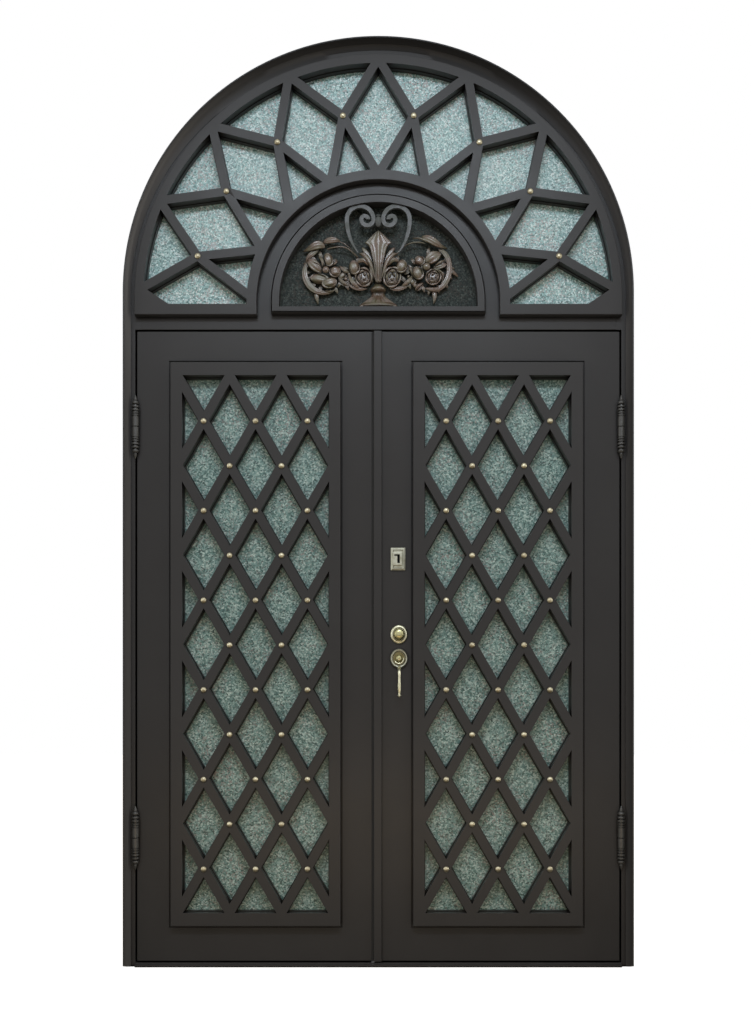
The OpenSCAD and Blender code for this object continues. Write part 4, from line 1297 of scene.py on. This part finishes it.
sprigs = {  # x, y, z, length, thickness of the leaf, turn
    "left": [
        (-186, -52, 2352, 34, 34, 108), (-203, -51, 2346, 36, 34, 138), (-218, -50, 2334, 34, 34, 165),
        (-226, -50, 2314, 30, 30, 190), (-222, -50, 2298, 32, 32, 212), (-208, -51, 2282, 36, 34, 235),
        (-190, -51, 2272, 34, 34, 255), (-170, -51, 2264, 28, 30, 275), (-152, -51, 2268, 32, 32, 305),
        (-136, -52, 2282, 36, 34, 330), (-128, -52, 2300, 30, 30, 350), (-132, -52, 2318, 28, 28, 25),
        (-116, -52, 2290, 32, 32, 318), (-104, -53, 2300, 30, 30, 280), (-92, -53, 2284, 28, 30, 235),
        (-150, -52, 2334, 26, 28, 70), (-72, -52, 2302, 34, 34, 222), (-66, -53, 2340, 26, 30, 96),
        (-98, -54, 2318, 24, 26, 150), (-126, -54, 2284, 26, 28, 250), (-112, -54, 2276, 28, 28, 300),
        (-180, -54, 2330, 24, 26, 100), (-156, -54, 2296, 24, 26, 40)],
    "right": [
        (166, -52, 2362, 34, 34, 84), (196, -51, 2362, 36, 34, 48), (214, -50, 2348, 32, 34, 20),
        (222, -50, 2328, 34, 34, -6), (222, -50, 2306, 30, 32, -30), (212, -51, 2286, 34, 34, -52),
        (196, -51, 2274, 32, 34, -78), (172, -51, 2268, 32, 32, -100), (150, -51, 2274, 32, 32, -130),
        (132, -52, 2288, 30, 32, -150), (118, -52, 2296, 30, 30, -135), (118, -52, 2322, 28, 30, 150),
        (126, -53, 2338, 26, 28, 130), (106, -53, 2290, 30, 30, -110), (94, -53, 2282, 30, 30, -60),
        (86, -53, 2304, 28, 30, 30), (68, -52, 2300, 36, 34, -42), (64, -53, 2344, 26, 30, 84),
        (104, -54, 2310, 26, 28, 100), (142, -54, 2268, 26, 28, -60), (130, -54, 2276, 26, 28, -100),
        (150, -54, 2318, 24, 26, 150), (200, -54, 2312, 24, 26, -20)]}

leaves = {  # points, widths, thickness (0 for a round stem), ribs
    "left": [
        ([(-66, -60, 2358), (-80, -62, 2371), (-94, -64, 2383), (-109, -65, 2391), (-125, -65, 2394),
          (-142, -64, 2393), (-160, -60, 2390), (-174, -56, 2388)], [5.4, 5.2, 5, 4.8, 4.8, 4.6, 4.2, 3.4], 0, 0),
        ([(-70, -57, 2366), (-86, -60, 2383), (-102, -62, 2397), (-116, -63, 2406), (-131, -64, 2411),
          (-144, -64, 2412)], [3.4, 3.4, 3.4, 3.4, 3.4, 3], 0, 0),
        ([(-186, -56, 2407), (-176, -61, 2412), (-162, -65, 2415), (-148, -67, 2415), (-136, -66, 2413),
          (-126, -62, 2413)], [3, 17, 23, 21, 13, 2], 9, 1.6),
        ([(-176, -58, 2393), (-188, -63, 2399), (-203, -66, 2400), (-220, -64, 2392), (-236, -58, 2385),
          (-252, -52, 2381)], [6, 26, 34, 24, 13, 2], 11, 2),
        ([(-198, -54, 2388), (-213, -57, 2378), (-226, -58, 2368), (-236, -56, 2356), (-242, -51, 2342)],
          [6, 20, 19, 14, 3], 9, 1.4),
        ([(-226, -51, 2352), (-242, -54, 2336), (-247, -56, 2312), (-243, -56, 2288), (-231, -56, 2266),
          (-212, -55, 2250), (-190, -55, 2243), (-166, -54, 2243), (-146, -52, 2250)],
          [4, 15, 20, 22, 23, 22, 18, 13, 3], 9, 1.6),
        ([(-204, -50, 2250), (-207, -52, 2236), (-204, -52, 2222), (-200, -48, 2205)], [12, 18, 12, 2], 7, 0.8),
        ([(-142, -52, 2256), (-152, -58, 2248), (-166, -60, 2246), (-178, -57, 2250)], [2, 9, 8, 2], 7, 0.8),
        ([(-132, -53, 2334), (-124, -60, 2325), (-113, -63, 2315), (-101, -61, 2309), (-90, -55, 2312)],
          [2, 11, 14, 11, 2], 7, 1),
        ([(-136, -54, 2292), (-126, -60, 2283), (-113, -63, 2274), (-101, -60, 2264)], [2, 12, 12, 2], 7, 1),
        ([(-99, -54, 2312), (-96, -61, 2294), (-87, -66, 2277), (-74, -66, 2263), (-59, -58, 2254)],
          [2, 12, 16, 14, 3], 9, 1.6),
        ([(-108, -52, 2282), (-94, -57, 2267), (-75, -60, 2257), (-54, -60, 2253), (-34, -54, 2258)],
          [2, 13, 17, 14, 2], 8, 1.4),
        ([(-74, -57, 2334), (-66, -63, 2345), (-52, -68, 2350), (-39, -66, 2343), (-31, -60, 2328)],
          [2, 14, 18, 15, 3], 9, 1.4),
        ([(-22, -56, 2272), (-19, -64, 2294), (-23, -67, 2318), (-32, -62, 2340)], [2, 11, 11, 2], 8, 1),
        ([(-200, -58, 2364), (-190, -66, 2354), (-183, -69, 2341), (-186, -63, 2325)], [2, 12, 11, 2], 8, 1),
        ([(-236, -54, 2324), (-220, -68, 2344), (-202, -72, 2338), (-186, -64, 2322)], [2, 5, 5, 2], 0, 0),
        ([(-158, -58, 2332), (-148, -65, 2334), (-139, -64, 2342), (-137, -56, 2354)], [2, 9, 8, 2], 7, 1)],
    "right": [
        ([(56, -60, 2362), (73, -63, 2386), (93, -65, 2401), (117, -66, 2408), (140, -66, 2408), (158, -63, 2404)],
          [5.4, 5.2, 5, 4.8, 4.6, 3.6], 0, 0),
        ([(112, -58, 2422), (127, -62, 2424), (143, -66, 2420), (158, -68, 2412), (172, -66, 2404)],
          [2, 5, 7, 8, 3], 6, 0),
        ([(142, -58, 2429), (156, -66, 2424), (174, -69, 2415), (192, -68, 2404), (210, -62, 2393),
          (232, -53, 2390)], [3, 22, 28, 24, 13, 2], 11, 2),
        ([(198, -54, 2390), (214, -58, 2381), (229, -60, 2364), (237, -58, 2342), (238, -57, 2316), (232, -57, 2290),
          (217, -57, 2266), (196, -55, 2250), (176, -53, 2246)], [4, 17, 19, 18, 19, 21, 21, 14, 3], 9, 1.6),
        ([(224, -50, 2326), (240, -55, 2318), (254, -53, 2309), (269, -48, 2297)], [4, 17, 13, 2], 7, 0.8),
        ([(210, -54, 2262), (192, -59, 2253), (172, -60, 2252), (152, -54, 2260)], [4, 16, 15, 3], 8, 1.2),
        ([(184, -50, 2256), (188, -53, 2240), (188, -52, 2224), (184, -48, 2206)], [12, 18, 12, 2], 7, 0.8),
        ([(186, -60, 2330), (199, -67, 2337), (211, -66, 2345), (222, -58, 2350)], [2, 9, 8, 2], 7, 1),
        ([(176, -58, 2318), (196, -69, 2318), (212, -68, 2308), (218, -62, 2290), (208, -58, 2270)],
          [2, 6, 7, 6, 2], 0, 0),
        ([(152, -53, 2278), (141, -60, 2271), (130, -61, 2262), (122, -55, 2250)], [2, 12, 10, 2], 7, 1),
        ([(116, -54, 2304), (111, -61, 2290), (100, -64, 2278), (87, -62, 2268), (74, -55, 2262)],
          [2, 12, 16, 13, 2], 9, 1.4),
        ([(104, -52, 2272), (89, -58, 2261), (70, -60, 2254), (49, -59, 2254), (34, -53, 2260)],
          [2, 13, 17, 14, 2], 8, 1.4),
        ([(74, -57, 2338), (64, -63, 2349), (50, -68, 2351), (38, -66, 2343), (31, -60, 2328)],
          [2, 14, 17, 14, 3], 9, 1.4),
        ([(22, -56, 2272), (19, -64, 2296), (23, -67, 2320), (32, -62, 2342)], [2, 11, 11, 2], 8, 1),
        ([(98, -57, 2332), (107, -62, 2321), (113, -62, 2310), (112, -56, 2298)], [2, 11, 9, 2], 7, 1),
        ([(150, -57, 2340), (144, -64, 2331), (146, -64, 2320), (152, -59, 2310)], [2, 9, 8, 2], 7, 1)]}


def makeBouquet(side):
    parts = []
    for kind, x, y, z, wide, tall, turn in flowers[side]:
        deep = tall * 0.9 if kind == "fold" else min(wide, tall) * 0.8
        parts.append(copied(shapes[kind], "flower", Vector((x, y, z)) * mm, Vector((wide, deep, tall)) * mm, turn))
    for x, y, z, long, thick, turn in sprigs[side]:
        parts.append(copied(shapes["leaf"], "sprig", Vector((x, y, z)) * mm, Vector((long, thick, thick)) * mm, turn))
    for path, widths, flat, ribs in leaves[side]:
        parts.append(drawn("leaf", path, widths, 12, flat, ribs) if flat else drawn("stem", path, widths, 8))
    return joined(*parts)


shapes = {"bud": makeBud(), "blossom": makeBlossom(),
          "fold": joined(drawn("fold", *bloom["fold"]), drawn("lip", *bloom["lip"])),
          "leaf": drawn("leaf", *bloom["leaf"]), "ball": lathe("ball", bloom["ball"], (0, 0, 0), 16, unit=1)}
for side in ("left", "right"):
    keepPiece(makeBouquet(side), side + "Bouquet", "frame", "bronze", bronze, "bouquet_" + side, smooth=60)
for shape in shapes.values():
    bpy.data.objects.remove(shape)
print("bouquets done")

# camera, lamps, room and floor
studio = {
    "camera": (0, -3.96, 0.887), "lens": 41.21, "shift": (-0.0008, 0.1836), "room": 0.36, "warm": (1.0, 0.92, 0.78, 1),
    "floor": (0.75, 0.74, 0.72, 1), "floorGlow": 0.9, "floorBounce": (0.34, 0.32, 0.29, 1),
    "lamps": [  # name, place, aim, size, power, colour
        ("front", (0, -3.5, 4.0), (0, 0, 2.3), (2.2, 0.5), 56, (0.82, 0.91, 1.0)),
        ("low", (0, -3.8, 3.2), (0, 0, 2.0), (3.6, 0.8), 7, (0.88, 0.92, 1.0)),
        ("leftSide", (-1.9, -2.2, 1.5), (0, -0.1, 1.4), (0.4, 3.0), 4.2, (1.0, 0.98, 0.88)),
        ("leftGraze", (-2.6, -0.75, 1.6), (0.8, -0.1, 1.6), (0.3, 3.0), 14, (1.0, 0.98, 0.9)),
        ("rightSide", (1.9, -2.2, 1.5), (0, -0.1, 1.4), (0.4, 3.0), 4.2, (1.0, 0.98, 0.88)),
        ("rightGraze", (2.6, -0.75, 1.6), (-0.8, -0.1, 1.6), (0.3, 3.0), 14, (1.0, 0.98, 0.9)),
        ("bounce", (0, -2.6, 0.15), (0, 0, 0.5), (2.4, 0.6), 11, (1.0, 0.74, 0.44))]}

bpy.ops.object.camera_add(location=studio["camera"], rotation=(math.pi / 2, 0, 0))
camera = bpy.context.object
camera.data.lens = studio["lens"]
camera.data.shift_x, camera.data.shift_y = studio["shift"]
bpy.context.scene.camera = camera
for name, place, aim, size, power, colour in studio["lamps"]:
    bpy.ops.object.light_add(type="AREA", location=place)
    lamp = bpy.context.object
    lamp.name = name
    lamp.rotation_euler = (Vector(aim) - Vector(place)).to_track_quat("-Z", "Y").to_euler()
    lamp.data.shape = "RECTANGLE"
    lamp.data.size, lamp.data.size_y = size
    lamp.data.energy, lamp.data.color = power, colour

world = bpy.data.worlds.new("room")
bpy.context.scene.world = world
world.use_nodes = True
sky = Wire(world.node_tree)
direct, glossy, through = (sky.node("LightPath", out="Is %s Ray" % ray) for ray in ("Camera", "Glossy", "Transmission"))
seen = sky.maths("MAXIMUM", sky.maths("MAXIMUM", direct, glossy), through)
room = world.node_tree.nodes["Background"].inputs
sky.tree.links.new(seen.mix(studio["warm"], (1, 1, 1, 1)).socket, room["Color"])
sky.tree.links.new((seen * (1 - studio["room"]) + studio["room"]).socket, room["Strength"])

letGo()
bpy.ops.mesh.primitive_plane_add(size=30)
floor = bpy.context.object
floor.name = "floor"
floorPaint, start, coords = newFinish("paleFloor")
white = start.node("Emission", {}, {"Color": (1, 1, 1, 1), "Strength": studio["floorGlow"]})
matt = start.node("BsdfDiffuse", {}, {"Color": studio["floor"]})
dim = start.node("BsdfDiffuse", {}, {"Color": studio["floorBounce"]})
bright = start.node("AddShader", {}, {0: white, 1: matt})
mixed = start.node("MixShader", {}, {0: start.node("LightPath", out="Is Camera Ray"), 1: dim, 2: bright})
start.tree.links.new(mixed.socket, floorPaint.node_tree.nodes["Material Output"].inputs["Surface"])
floor.data.materials.append(floorPaint)

# the spindle between the handles shows as the frame holds it
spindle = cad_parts["lever_spindle"].data.materials
spindle.clear()
spindle.append(brass)

bpy.context.scene.view_settings.view_transform = "Standard"
